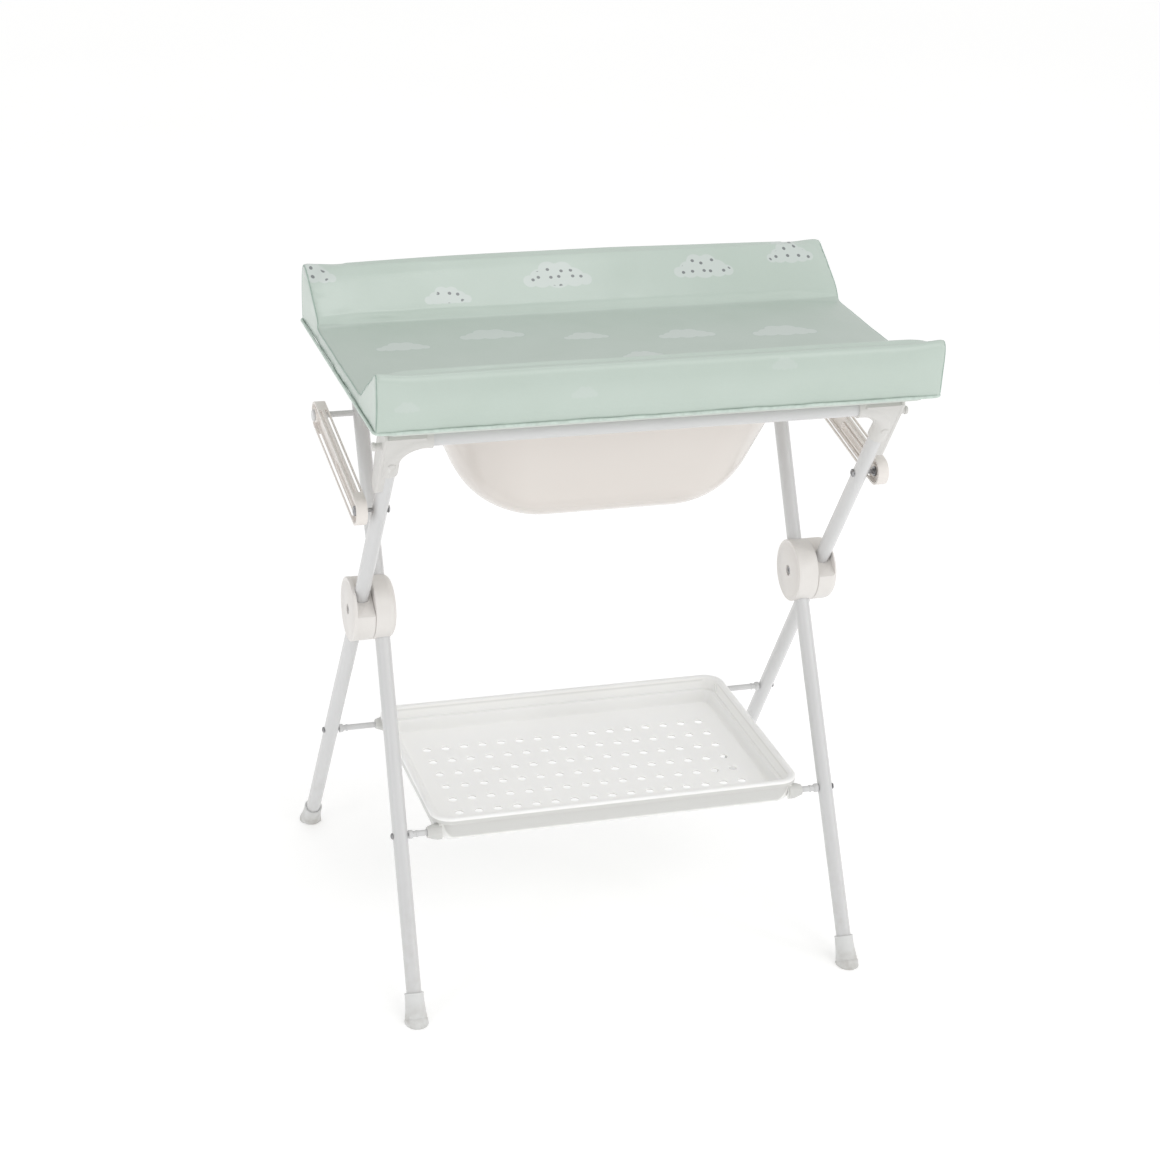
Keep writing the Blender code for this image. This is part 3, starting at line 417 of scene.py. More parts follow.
PAINT = painted("white_powder_coat", (0.655, 0.656, 0.658), (0.625, 0.627, 0.630))
HUB_PLASTIC = moulded("hub_plastic_material", (0.79, 0.765, 0.74), (0.76, 0.735, 0.71), 0.36)
BRACKET = moulded("bracket_plastic_material", (0.68, 0.67, 0.65), (0.64, 0.63, 0.61), 0.38)
ARM_PLASTIC = moulded("arm_plastic_material", (0.82, 0.78, 0.745), (0.78, 0.74, 0.705), 0.38)
TUB_PLASTIC = moulded("tub_plastic_material", (0.735, 0.690, 0.650), (0.715, 0.670, 0.632), 0.35, 160, 0.01, wear=0,
                      Coat_Weight=0.6, Coat_Roughness=0.10)
FOOT_RUBBER = moulded("foot_rubber_material", (0.72, 0.725, 0.72), (0.67, 0.675, 0.67), 0.50, 700, 0.10, 0.035)
STEEL = metal("screw_steel", (0.42, 0.42, 0.43), (0.27, 0.27, 0.28))


# ---------------------------------------------------------------- leg frames
def u_path(x, up, reach, steps=16):
    """Up from one hub, across the table and down to the other."""
    left = Vector((-x, HUB.y, HUB.z))
    path = [left + up * TUBE_START, left + up * (reach - BEND_R) * 0.5]
    turn = left + up * (reach - BEND_R) + Vector((BEND_R, 0, 0))
    for i in range(steps + 1):
        a = math.pi / 2 * i / steps
        path.append(turn - Vector((BEND_R * math.cos(a), 0, 0)) + up * BEND_R * math.sin(a))
    middle = [Vector((-0.12, path[-1].y, path[-1].z))]
    mirrored = [Vector((-p.x, p.y, p.z)) for p in reversed(path + middle)]
    return path + middle + mirrored


def build_leg_frames():
    bar = sweep("front_rail_bar", u_path(OUTER_X, OUTER_UP, FRONT_REACH), TUBE_R, 48)
    place(bar, "outer_frame", PAINT, "painted_tube", "front_rail_tube")
    bar = sweep("rear_rail_bar", u_path(INNER_X, INNER_UP, REAR_REACH), TUBE_R, 48)
    place(bar, "inner_frame", PAINT, "painted_tube", "rear_rail_tube")
    for side, word in SIDES:
        for where, x, body in (("front", INNER_X, "inner_frame"), ("rear", OUTER_X, "outer_frame")):
            hub, foot = hub_at(side, x), foot_at(side, where)
            down = (foot - hub).normalized()
            name = word + "_" + where
            start, end = hub + down * TUBE_START, foot - down * FOOT_GRIP
            points = [start + (end - start) * i / 6 for i in range(7)]
            place(sweep(name + "_leg_bar", points, TUBE_R, 48), body, PAINT, "painted_tube", name + "_leg")
            build_foot(name, foot, -down, body)


def build_foot(name, foot, up, body):
    """A cap with a thick sole, a waist and a rolled lip, cut level with the floor."""
    profile = [(0.0100, -0.016), (0.0166, -0.016), (0.0172, -0.006), (0.0173, 0.0030), (0.0169, 0.0052), (0.0161, 0.0060),
               (0.0159, 0.0068), (0.0161, 0.0076), (0.0156, 0.0120), (0.0149, 0.0180), (0.0143, 0.0240),
               (0.0139, 0.0300), (0.0138, 0.0350)]
    profile += arc(0.0132, 0.0412, 0.0011, -60, 100, 6) + [(0.0118, 0.0424), (0.0111, 0.0418), (0.0110, 0.030)]
    cap = lathe(name + "_foot_cap", profile, foot, up, 56)
    bm = bmesh.new()
    bm.from_mesh(cap.data)
    bmesh.ops.bisect_plane(bm, geom=bm.verts[:] + bm.edges[:] + bm.faces[:], plane_co=(0, 0, 0), plane_no=(0, 0, -1),
                           clear_outer=True)
    bmesh.ops.holes_fill(bm, edges=[e for e in bm.edges if e.is_boundary])
    bmesh.ops.recalc_face_normals(bm, faces=bm.faces)
    bm.to_mesh(cap.data)
    bm.free()
    cap.data.shade_smooth()
    cap.data.set_sharp_from_angle(angle=math.radians(38))
    soften(cap, 0.0006, 2, 50)
    place(cap, body, FOOT_RUBBER, "foot_rubber", name + "_foot")


def pan_head(name, at, outwards, radius, height, shank=0.0, shank_r=0.002):
    """A screw head with a cross recess, its underside at a point."""
    at, outwards = Vector(at), Vector(outwards).normalized()
    profile = [(shank_r, -shank), (shank_r, 0.0), (radius, 0.0), (radius, height * 0.35)]
    profile += [(radius * math.cos(t), height * (0.35 + 0.65 * math.sin(t)))
                for t in (math.radians(d) for d in (20, 38, 55, 70, 82))]
    head = lathe(name, profile, at, outwards, 36)
    across = Vector((0, 1, 0))
    for turn in (0.35, 0.35 + math.pi / 2):
        blade = box(name + "_blade", (-0.00055, 0.00055), (-radius * 0.62, radius * 0.62), (height * 0.35, height * 1.6))
        spin = across.rotation_difference(across).to_matrix()
        frame_z = outwards
        frame_x = frame_z.orthogonal().normalized()
        frame_y = frame_z.cross(frame_x)
        basis = Matrix((frame_x, frame_y, frame_z)).transposed()
        blade.data.transform(Matrix.Translation(at) @ (basis @ Matrix.Rotation(turn, 3, "Z") @ spin).to_4x4())
        cut(head, blade)
    return head


# ---------------------------------------------------------------- hubs
HUB_R = (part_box("left_hub_outer")[1].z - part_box("left_hub_outer")[0].z) / 2
HUB_ROUND = 0.0115
RECESS_R, RECESS_DEEP = 0.0078, 0.0036
NOTCH_FROM = 0.0290


def flat_half(name, x0, x1):
    """The half with a flat disc face, looking along -X."""
    width = x1 - x0
    profile = [(0.0042, 0.0035), (RECESS_R, 0.0035), (RECESS_R, 0.0006), (RECESS_R + 0.0006, 0.0)]
    profile += [(HUB_R - 0.0062, 0.0), (HUB_R - 0.0056, 0.0004)] + arc(HUB_R - 0.0016, 0.0016, 0.0016, 250, 360, 6)
    profile += [(HUB_R, 0.0060), (HUB_R - 0.0004, 0.0066), (HUB_R - 0.0004, width - 0.0010), (HUB_R - 0.0012, width),
                (0.0042, width)]
    return lathe_ring(name, profile, (x0, HUB.y, HUB.z), (1, 0, 0), 96)


def round_half(name, x0, x1):
    """The half with a well rounded end, looking along +X."""
    width = x1 - x0
    profile = [(0.0042, 0.0), (HUB_R - 0.0012, 0.0), (HUB_R - 0.0004, 0.0010)]
    profile += arc(HUB_R - 0.0004 - HUB_ROUND, width - HUB_ROUND, HUB_ROUND, 0, 90, 12)
    profile += [(RECESS_R + 0.0006, width), (RECESS_R, width - 0.0006), (RECESS_R, width - RECESS_DEEP),
                (0.0042, width - RECESS_DEEP)]
    return lathe_ring(name, profile, (x0, HUB.y, HUB.z), (1, 0, 0), 96)


def build_hubs():
    for side, word in SIDES:
        spans = {kind: (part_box(word + "_hub_" + kind)[0].x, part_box(word + "_hub_" + kind)[1].x)
                 for kind in ("inner", "outer")}
        flat, rounded = ("outer", "inner") if side < 0 else ("inner", "outer")
        halves = {flat: flat_half(word + "_hub_" + flat + "_shell", *spans[flat]),
                  rounded: round_half(word + "_hub_" + rounded + "_shell", *spans[rounded])}
        # the open channel that the front rail's tube comes out of
        x = side * OUTER_X
        lo, hi = (x - 0.0114, x + 0.0150) if side < 0 else (x - 0.0150, x + 0.0118)
        channel = box(word + "_channel", (lo, hi), (-0.060, 0.060), (NOTCH_FROM, 0.070))
        tilt = Vector((0, 0, 1)).rotation_difference(OUTER_UP).to_matrix().to_4x4()
        channel.data.transform(Matrix.Translation((0, HUB.y, HUB.z)) @ tilt)
        cut(halves["outer"], channel)
        for kind, x, up, where in (("outer", OUTER_X, OUTER_UP, "rear"), ("inner", INNER_X, INNER_UP, "front")):
            centre = hub_at(side, x)
            down = (foot_at(side, where) - centre).normalized()
            for direction, label in ((up, "up"), (down, "down")):
                cut(halves[kind], rod(word + label, centre + direction * 0.016, centre + direction * 0.062, TUBE_R + 0.0003))
            soften(halves[kind], 0.0005, 2, 50)
            place(halves[kind], kind + "_frame", HUB_PLASTIC, "hub_plastic", word + "_hub_" + kind)
        start, end = spans[flat][0] + 0.0036, spans[rounded][1] - RECESS_DEEP
        bolt = pan_head(word + "_hub_bolt_head", (end, HUB.y, HUB.z), (1, 0, 0), 0.0062, 0.0028, end - start, 0.0036)
        join(bolt, pan_head(word + "_bolt_back", (start, HUB.y, HUB.z), (-1, 0, 0), 0.0062, 0.0028, 0.004, 0.0030))
        place(bolt, "inner_frame", STEEL, "dark_steel", word + "_hub_bolt")


# ---------------------------------------------------------------- corner brackets
SLEEVE_R = 0.0132
PLATE_X = (0.3676, 0.3722)


def bracket_point(up, back):
    """A point of the outer leg's plane: up along the leg from the hub, back square to it."""
    across = Vector((0, -OUTER_UP.z, OUTER_UP.y)) * -1
    return Vector((0, HUB.y, HUB.z)) + OUTER_UP * up + across * back


def build_brackets():
    for side, word in SIDES:
        corner = u_path(OUTER_X, OUTER_UP, FRONT_REACH)[2:19]
        path = [corner[0] - OUTER_UP * 0.020] + corner + [corner[-1] + Vector((0.0015 + 0.0045, 0, 0))]
        path = [Vector((-side * p.x, p.y, p.z)) for p in path]
        lip = 0.0006

        def radius(share):
            return SLEEVE_R + (lip if share < 0.02 or share > 0.985 else 0.0)
        sleeve = sweep(word + "_corner_bracket_shell", path, radius, 48)
        # gusset in the inside of the bend
        inside = OUTER_X - TUBE_R
        rail_low = FRONT_REACH - TUBE_R
        fillet = 0.0400
        web = bmesh.new()
        outline = [(OUTER_X - 0.004, FRONT_REACH - 0.004), (OUTER_X - 0.004, rail_low - fillet + 0.002)]
        outline += [(inside - fillet + fillet * math.cos(t), rail_low - fillet + fillet * math.sin(t))
                    for t in (math.radians(90 * k / 12) for k in range(13))]
        outline += [(inside - fillet - 0.002, FRONT_REACH - 0.004)]
        rings = []
        for back in (-0.0048, 0.0048):
            rings.append([web.verts.new(Vector((side * x, 0, 0)) + bracket_point(up, back)) for x, up in outline])
        bridge(web, rings)
        join(sleeve, new_object(word + "_gusset", web))
        # flat corner that fills the outside of the bend, with the tube's shape standing out of it
        top, low, inner = FRONT_REACH + 0.0125, FRONT_REACH - 0.1000, inside - fillet + 0.0100
        corner_plate = bmesh.new()
        outline = [(inner, FRONT_REACH), (inner, top), (PLATE_X[1], top), (PLATE_X[1], low + 0.0040),
                   (PLATE_X[1] - 0.0030, low), (OUTER_X, low), (OUTER_X, FRONT_REACH - BEND_R),
                   (OUTER_X - 0.0132, FRONT_REACH - 0.0132)]
        rings = []
        for back in (-0.0100, 0.0060):
            rings.append([corner_plate.verts.new(Vector((side * x, 0, 0)) + bracket_point(up, back)) for x, up in outline])
        bridge(corner_plate, rings)
        join(sleeve, new_object(word + "_corner_plate", corner_plate))
        # side plate
        at = [(0.0125, -0.0105), (0.0165, -0.0060), (0.0165, 0.0140), (0.0060, 0.0270), (-0.0200, 0.0260),
              (-0.0950, 0.0120), (-0.1040, 0.0070), (-0.1040, -0.0070), (-0.1000, -0.0105)]
        outline = [bracket_point(FRONT_REACH + up, back) for up, back in at]
        plate = prism(word + "_plate", [(p.y, p.z) for p in outline], side * PLATE_X[0], side * PLATE_X[1])
        soften(plate, 0.0012, 3, 30)
        join(sleeve, plate)
        pin = ((0.0050, -0.006), (0.0050, 0.0085), (0.0060, 0.0088), (0.0060, 0.0112), (0.0056, 0.0125), (0.0040, 0.0133))
        join(sleeve, lathe(word + "_pin", pin, bracket_point(FRONT_REACH - 0.011, 0)
                           + Vector((side * PLATE_X[1], 0, 0)), (side, 0, 0), 40))
        face = (bracket_point(0, -1) - bracket_point(0, 0)).normalized()
        button = ((0.0052, -0.004), (0.0052, 0.0008), (0.0047, 0.0014), (0.0030, 0.0016))
        at = bracket_point(FRONT_REACH - BEND_R + 0.004, -SLEEVE_R) + Vector((side * OUTER_X, 0, 0))
        join(sleeve, lathe(word + "_button", button, at, face, 32))
        soften(sleeve, 0.0004, 2, 55, 45)
        place(sleeve, "outer_frame", BRACKET, "bracket_plastic", word + "_corner_bracket")


# ---------------------------------------------------------------- side arms
ARM_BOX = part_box("right_side_arm")
ARM_X = (ARM_BOX[0].x, ARM_BOX[1].x)
ARM_WEB = (0.3832, 0.3860)
ARM_RIB = (0.3800, 0.3892)
ARM_HALF, ARM_WALL = 0.0200, 0.0030
SLOT_HALF, SLOT_RIB = 0.0045, 0.0028
ARM_ROD_R = 0.0044


def build_arms():
    for side, word in SIDES:
        arm = prism(word + "_side_arm_moulding", stadium(ARM_REAR, ARM_FRONT, ARM_HALF), side * ARM_X[0], side * ARM_X[1])
        slot_end = ARM_FRONT - ARM_DIR * (SLOT_TRAVEL + 0.0022)
        inner = stadium(ARM_REAR, ARM_FRONT, ARM_HALF - ARM_WALL)
        for x in ((ARM_X[0] - 0.01, ARM_WEB[0]), (ARM_WEB[1], ARM_X[1] + 0.01)):
            cut(arm, prism(word + "_recess", inner, side * x[0], side * x[1]))
        join(arm, prism(word + "_slot_rib", stadium(slot_end, ARM_FRONT, SLOT_HALF + SLOT_RIB),
                        side * ARM_RIB[0], side * ARM_RIB[1]))
        # two long ribs between the slot and the rim
        across = Vector((0, -ARM_DIR.z, ARM_DIR.y))
        for off in (-0.0122, 0.0122):
            one, two = ARM_REAR + across * off + ARM_DIR * 0.004, ARM_FRONT + across * off - ARM_DIR * 0.004
            join(arm, prism(word + "_long_rib", stadium(one, two, 0.0008, 6), side * (ARM_WEB[0] - 0.0030),
                            side * (ARM_WEB[1] + 0.0030)))
        boss = ((0.0112, 0.0), (0.0105, 0.0008), (0.0105, ARM_X[1] - ARM_X[0] - 0.0008), (0.0100, ARM_X[1] - ARM_X[0]))
        join(arm, lathe(word + "_boss", boss, (side * ARM_X[0], ARM_REAR.y, ARM_REAR.z), (side, 0, 0), 48))
        cut(arm, prism(word + "_slot", stadium(slot_end, ARM_FRONT + ARM_DIR * 0.0002, SLOT_HALF),
                       side * (ARM_X[0] - 0.01), side * (ARM_X[1] + 0.01)))
        cut(arm, rod(word + "_bore", (side * 0.36, ARM_REAR.y, ARM_REAR.z), (side * 0.41, ARM_REAR.y, ARM_REAR.z),
                     ARM_ROD_R + 0.0003))
        for one, two in ((0.3790, ARM_WEB[0] - 0.0002), (ARM_WEB[1] + 0.0002, 0.3904)):
            for edge in (-1, 1):
                ends = (ARM_REAR + ARM_DIR * 0.020, ARM_FRONT - ARM_DIR * 0.016)
                reach = (edge * (ARM_HALF - ARM_WALL - 0.0010), edge * (ARM_HALF + 0.0020))
                corners = [ends[0] + across * reach[0], ends[1] + across * reach[0], ends[1] + across * reach[1],
                           ends[0] + across * reach[1]]
                cut(arm, prism(word + "_edge_slot", [(c.y, c.z) for c in corners], side * one, side * two))
        soften(arm, 0.0006, 2, 40)
        place(arm, word + "_arm", ARM_PLASTIC, "arm_plastic", word + "_side_arm")

        start, tip = INNER_X - TUBE_R - 0.0030, ARM_X[1]
        profile = [(0.0052, start), (0.0066, start + 0.0006), (0.0070, start + 0.0014), (0.0070, INNER_X - TUBE_R - 0.0003),
                   (ARM_ROD_R, INNER_X - TUBE_R - 0.0003), (ARM_ROD_R, tip + 0.0003), (0.0088, tip + 0.0003),
                   (0.0088, tip + 0.0018)]
        profile += arc(0.0066, tip + 0.0016, 0.0022, 15, 80, 5) + [(0.0030, tip + 0.0040)]
        place(lathe(word + "_arm_hinge_rod", profile, (0, ARM_REAR.y, ARM_REAR.z), (side, 0, 0), 48), "inner_frame",
              PAINT, "painted_tube", word + "_arm_rod")

        near = OUTER_X - TUBE_R
        stud = pan_head(word + "_arm_stud_head", (side * (near - 0.0003), ARM_FRONT.y, ARM_FRONT.z), (-side, 0, 0),
                        0.0058, 0.0030, 0.3728 - near, 0.0030)
        place(stud, "outer_frame", STEEL, "dark_steel", word + "_arm_stud")
        head = [(0.0042, 0.3736), (0.0042, ARM_X[0] + 0.0002), (0.0072, ARM_X[0] + 0.0002), (0.0072, ARM_RIB[0] - 0.0003),
                (0.0042, ARM_RIB[0] - 0.0003), (0.0042, ARM_RIB[1] + 0.0003), (0.0072, ARM_RIB[1] + 0.0003),
                (0.0072, ARM_X[1] - 0.0014), (0.0066, ARM_X[1] - 0.0004), (0.0052, ARM_X[1] + 0.0004),
                (0.0026, ARM_X[1] + 0.0004), (0.0022, ARM_X[1] - 0.0008)]
        place(lathe(word + "_arm_slider_pin", head, (0, ARM_FRONT.y, ARM_FRONT.z), (side, 0, 0), 48), word + "_slider",
              STEEL, "dark_steel", word + "_arm_slider")


# ---------------------------------------------------------------- tray
TRAY_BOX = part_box("tray")
TRAY_TOP, TRAY_BOTTOM = TRAY_BOX[1].z, TRAY_BOX[0].z
TRAY_Y = MOUNT_AT["tray_floor"].y
TRAY_HALF_Y = TRAY_BOX[1].y - TRAY_Y
TRAY_HALF_X = 0.2830
TRAY_CORNER = 0.030
TRAY_RIM = 0.0085
TRAY_FLOOR = 0.0030
HOLE_R = 0.0062
HOLE_PITCH = (0.0297, 0.0396)
HOLE_COUNT = (16, 6)
SPINDLE_R = 0.0045


def outer_wall_shade_mask(n):
    """A mask on the outside and underside of the tray, below its rim, where its colour is darkened as painted shade;
    the inside keeps the light tone.
    """
    across, along, up = n.axis("X"), n.math("SUBTRACT", n.axis("Y"), TRAY_Y), n.axis("Z")
    outer = n.spread(up, TRAY_BOX[0].z + 0.0026, TRAY_BOX[0].z + 0.0016)
    for offset, half in ((across, TRAY_HALF_X), (along, TRAY_HALF_Y)):
        outer = n.math("MAXIMUM", outer, n.spread(n.math("ABSOLUTE", offset), half - 0.0108, half - 0.0094))
    return n.math("MULTIPLY", outer, n.spread(up, TRAY_BOX[1].z - 0.0035, TRAY_BOX[1].z - 0.0050))


# the tray plastic, with painted shade on its outer walls and underside
TRAY_PLASTIC = moulded("tray_plastic_material", (0.96, 0.96, 0.935), (0.94, 0.94, 0.915), 0.35, 220, 0.02, wear=0,
                       painted_wall_shade=outer_wall_shade_mask, Subsurface_Weight=0.8, Subsurface_Scale=0.004,
                       Subsurface_Radius=(1.0, 1.0, 0.97))


def build_tray():
    a, b = TRAY_HALF_X, TRAY_HALF_Y
    h = TRAY_TOP - TRAY_BOTTOM
    rim, floor = TRAY_RIM, TRAY_BOTTOM + TRAY_FLOOR
    # (inset from the outline, height): up the outside, over the lip, down the stepped inside
    loops = [(0.0200, TRAY_BOTTOM), (0.0160, TRAY_BOTTOM + 0.0004), (0.0130, TRAY_BOTTOM + 0.0016),
             (0.0108, TRAY_BOTTOM + 0.0038), (0.0096, TRAY_BOTTOM + 0.0070), (0.0072, TRAY_BOTTOM + 0.0170),
             (0.0050, TRAY_TOP - 0.0126), (0.0044, TRAY_TOP - 0.0114), (0.0016, TRAY_TOP - 0.0108),
             (0.0003, TRAY_TOP - 0.0096), (0.0000, TRAY_TOP - 0.0080), (0.0000, TRAY_TOP - 0.0034),
             (0.0004, TRAY_TOP - 0.0016), (0.0014, TRAY_TOP - 0.0004), (0.0028, TRAY_TOP),
             (rim - 0.0020, TRAY_TOP), (rim - 0.0004, TRAY_TOP - 0.0006), (rim + 0.0010, TRAY_TOP - 0.0020),
             (rim + 0.0042, TRAY_TOP - h * 0.40), (rim + 0.0052, TRAY_TOP - h * 0.435),
             (rim + 0.0104, TRAY_TOP - h * 0.455), (rim + 0.0116, TRAY_TOP - h * 0.49),
             (rim + 0.0138, floor + 0.0042), (rim + 0.0152, floor + 0.0012), (rim + 0.0176, floor)]
    bm = bmesh.new()
    rings = [[bm.verts.new((x, y, z)) for x, y in round_rect(a - d, b - d, max(TRAY_CORNER - d * 0.7, 0.012), TRAY_Y, 16)]
             for d, z in loops]
    bridge(bm, rings)
    tray = new_object("tray_moulding", bm, 50)

    holes = bmesh.new()
    sides = 20
    steps = ((HOLE_R + 0.0012, TRAY_BOTTOM - 0.004), (HOLE_R + 0.0007, TRAY_BOTTOM), (HOLE_R, TRAY_BOTTOM + 0.0007),
             (HOLE_R, floor - 0.0007), (HOLE_R + 0.0007, floor), (HOLE_R + 0.0012, floor + 0.004))
    for col in range(HOLE_COUNT[0]):
        for row in range(HOLE_COUNT[1]):
            x = (col - (HOLE_COUNT[0] - 1) / 2) * HOLE_PITCH[0]
            y = TRAY_Y + (row - (HOLE_COUNT[1] - 1) / 2) * HOLE_PITCH[1]
            bridge(holes, [ring(holes, (x, y, z), (0, 0, 1), r, sides) for r, z in steps])
    cut(tray, new_object("tray_holes", holes))

    for side, word in SIDES:
        for where, x in (("front", INNER_X), ("rear", OUTER_X)):
            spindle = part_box(word + "_" + where + "_spindle")
            y, z = (spindle[0].y + spindle[1].y) / 2, (spindle[0].z + spindle[1].z) / 2
            tip = TRAY_HALF_X + 0.0070
            boss = [(0.0124, TRAY_HALF_X - 0.0140), (0.0122, TRAY_HALF_X - 0.0080), (0.0112, TRAY_HALF_X - 0.0020),
                    (0.0092, tip - 0.0030), (0.0086, tip - 0.0010), (0.0080, tip)]
            join(tray, lathe(word + where + "_boss", boss, (0, y, z), (side, 0, 0), 48))
            wall = TRAY_HALF_X - 0.0090
            cut(tray, rod(word + where + "_bore", (side * wall, y, z), (side * 0.31, y, z), SPINDLE_R + 0.0004, 32))
            if where == "rear":
                notch_rear_boss(tray, side, wall, y, z)
            build_spindle(side, word, where, y, z, wall)
    place(tray, "tray", TRAY_PLASTIC, "tray_plastic", "tray")


def notch_rear_boss(tray, side, wall, y, z):
    """Opens a rear boss below and to the front, so that the tray lifts off its spindle as the frame closes."""
    tilt = math.radians(23)
    w = SPINDLE_R + 0.0008
    ahead, down = Vector((0, -math.sin(tilt), -math.cos(tilt))), Vector((0, -math.cos(tilt), math.sin(tilt)))
    c = Vector((0, y, z))
    corners = [c + down * w, c - down * w, c - down * w + ahead * 0.03, c + down * w + ahead * 0.03]
    cut(tray, prism("boss_notch", [(p.y, p.z) for p in corners], side * wall, side * 0.31))


def build_spindle(side, word, where, y, z, wall):
    """The rod from a leg into the tray's boss, ringed near the leg, and its screw."""
    box_lo, box_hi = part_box(word + "_" + where + "_spindle")
    near = max(abs(box_lo.x), abs(box_hi.x))
    body = "inner_frame" if where == "front" else "outer_frame"
    leg = leg_at(side, where, z)
    collar = near - 0.0060
    profile = [(0.0034, wall + 0.0008), (0.0042, wall + 0.0012), (SPINDLE_R, wall + 0.0022), (SPINDLE_R, collar - 0.0080),
               (SPINDLE_R + 0.0009, collar - 0.0074), (SPINDLE_R + 0.0009, collar - 0.0054), (SPINDLE_R, collar - 0.0048),
               (SPINDLE_R, collar - 0.0010), (0.0060, collar), (0.0066, collar + 0.0008), (0.0066, near - 0.0006),
               (0.0060, near)]
    place(lathe(word + "_" + where + "_tray_rod", profile, (0, y, z), (side, 0, 0), 40), body, PAINT, "painted_tube",
          word + "_" + where + "_spindle")
    out = abs(leg.x) + TUBE_R
    head = pan_head(word + "_" + where + "_leg_screw_head", (side * (out + 0.0003), y, z), (side, 0, 0), 0.0046, 0.0027,
                    out - near + 0.006, 0.0021)
    place(head, body, STEEL, "dark_steel", word + "_" + where + "_leg_screw")


# ---------------------------------------------------------------- tub
TUB_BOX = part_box("tub")
TUB_BOTTOM, BEAD_TOP = TUB_BOX[0].z, TUB_BOX[1].z
RIM_Y = (TUB_BOX[0].y, TUB_BOX[1].y)
RIM_HALF_X = TUB_BOX[1].x
TUB_WALL = 0.0030
TUB_Y = -0.0005
TUB_TOP = 0.8725
TUB_HALF_Y, TUB_HALF_X = (0.150, 0.075), (0.283, 0.187)
TUB_ROUND_Y, TUB_ROUND_X = 0.070, 0.125
RIM_T, BEAD_W = 0.0038, 0.0105
DRAIN_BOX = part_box("drain_plug")
DRAIN_X, DRAIN_Y = (DRAIN_BOX[0].x + DRAIN_BOX[1].x) / 2, (DRAIN_BOX[0].y + DRAIN_BOX[1].y) / 2
DRAIN_R = 0.0125


def bowl_side(top_half, bottom_half, bottom_z, r):
    """The half size of a bowl by height: a flat bottom, a round corner and a straight sloping wall."""
    corner = Vector((bottom_half, bottom_z))
    up = (Vector((top_half, TUB_TOP)) - corner).normalized()
    across = Vector((-1.0, 0.0))
    half_angle = up.angle(across) / 2
    centre = corner + (up + across).normalized() * (r / math.sin(half_angle))
    end = corner + up * (r / math.tan(half_angle))

    def half_at(z):
        if z >= end.y:
            return end.x + (top_half - end.x) * (z - end.y) / (TUB_TOP - end.y)
        dz = min(max(centre.y - z, 0.0), r)
        return centre.x + math.sqrt(max(r * r - dz * dz, 0.0))
    return half_at


def build_tub():
    bm = bmesh.new()
    rings = []

    def add(a, b, r, cy, z):
        rings.append([bm.verts.new((x, y, z)) for x, y in round_rect(a, b, r, cy, 20)])

    def shell(inset, bottom):
        in_x = bowl_side(TUB_HALF_X[0] - inset, TUB_HALF_X[1] - inset, bottom, TUB_ROUND_X)
        in_y = bowl_side(TUB_HALF_Y[0] - inset, TUB_HALF_Y[1] - inset, bottom, TUB_ROUND_Y)
        out = []
        steps = 34
        for i in range(steps + 1):
            t = (i / steps) ** 2.2 * 0.62 + (i / steps) * 0.38
            z = bottom + (TUB_TOP - bottom) * t
            a, b = in_x(z), in_y(z)
            out.append((a, b, min(b * 0.92, 0.135), TUB_Y, z))
        return out

    for row in shell(0.0, TUB_BOTTOM):
        add(*row)
    rim_b, rim_cy = (RIM_Y[1] - RIM_Y[0]) / 2, (RIM_Y[1] + RIM_Y[0]) / 2
    for inset, z in ((0.0040, 0.0), (0.0014, 0.0), (0.0004, 0.0004), (0.0, 0.0012), (0.0, RIM_T - 0.0012),
                     (0.0004, RIM_T - 0.0004), (0.0014, RIM_T), (0.0040, RIM_T)):
        add(RIM_HALF_X - inset, rim_b - inset, 0.071 - inset, rim_cy, TUB_TOP + z)
    top_a, top_b = TUB_HALF_X[0], TUB_HALF_Y[0]
    bead = [(BEAD_W + 0.0020, TUB_TOP + RIM_T), (BEAD_W + 0.0006, TUB_TOP + RIM_T + 0.0004),
            (BEAD_W, TUB_TOP + RIM_T + 0.0020)]
    middle = BEAD_W / 2 - 0.0006
    bead += [(middle + (BEAD_W - middle) * math.cos(t), BEAD_TOP - 0.0058 + 0.0058 * math.sin(t))
             for t in (math.radians(d) for d in range(0, 181, 15))]
    bead[-1] = (-0.0012, BEAD_TOP - 0.0062)
    for out, z in bead:
        add(top_a + out, top_b + out, 0.135 + out, TUB_Y, z)
    for row in reversed(shell(TUB_WALL, TUB_BOTTOM + TUB_WALL)):
        add(*row)
    bridge(bm, rings)
    tub = new_object("tub_moulding", bm, 50)
    cut(tub, rod("drain_hole", (DRAIN_X, DRAIN_Y, TUB_BOTTOM - 0.02), (DRAIN_X, DRAIN_Y, TUB_BOTTOM + 0.02), DRAIN_R, 48))
    place(tub, "tub", TUB_PLASTIC, "tub_plastic", "tub")

    floor = TUB_WALL
    profile = [(DRAIN_R - 0.0030, -0.0050), (DRAIN_R - 0.0014, -0.0046), (DRAIN_R - 0.0006, -0.0030),
               (DRAIN_R - 0.0006, floor + 0.0003), (DRAIN_R + 0.0035, floor + 0.0003), (DRAIN_R + 0.0034, floor + 0.0018),
               (DRAIN_R + 0.0022, floor + 0.0030), (DRAIN_R - 0.0020, floor + 0.0034), (0.0060, floor + 0.0036),
               (0.0048, floor + 0.0046), (0.0044, floor + 0.0090), (0.0052, floor + 0.0108), (0.0064, floor + 0.0124),
               (0.0062, floor + 0.0138), (0.0050, floor + 0.0148), (0.0026, floor + 0.0151)]
    place(lathe("drain_plug_stopper", profile, (DRAIN_X, DRAIN_Y, TUB_BOTTOM), (0, 0, 1), 56), "drain_plug", FOOT_RUBBER,
          "foot_rubber", "drain_plug")
    build_tub_fittings()


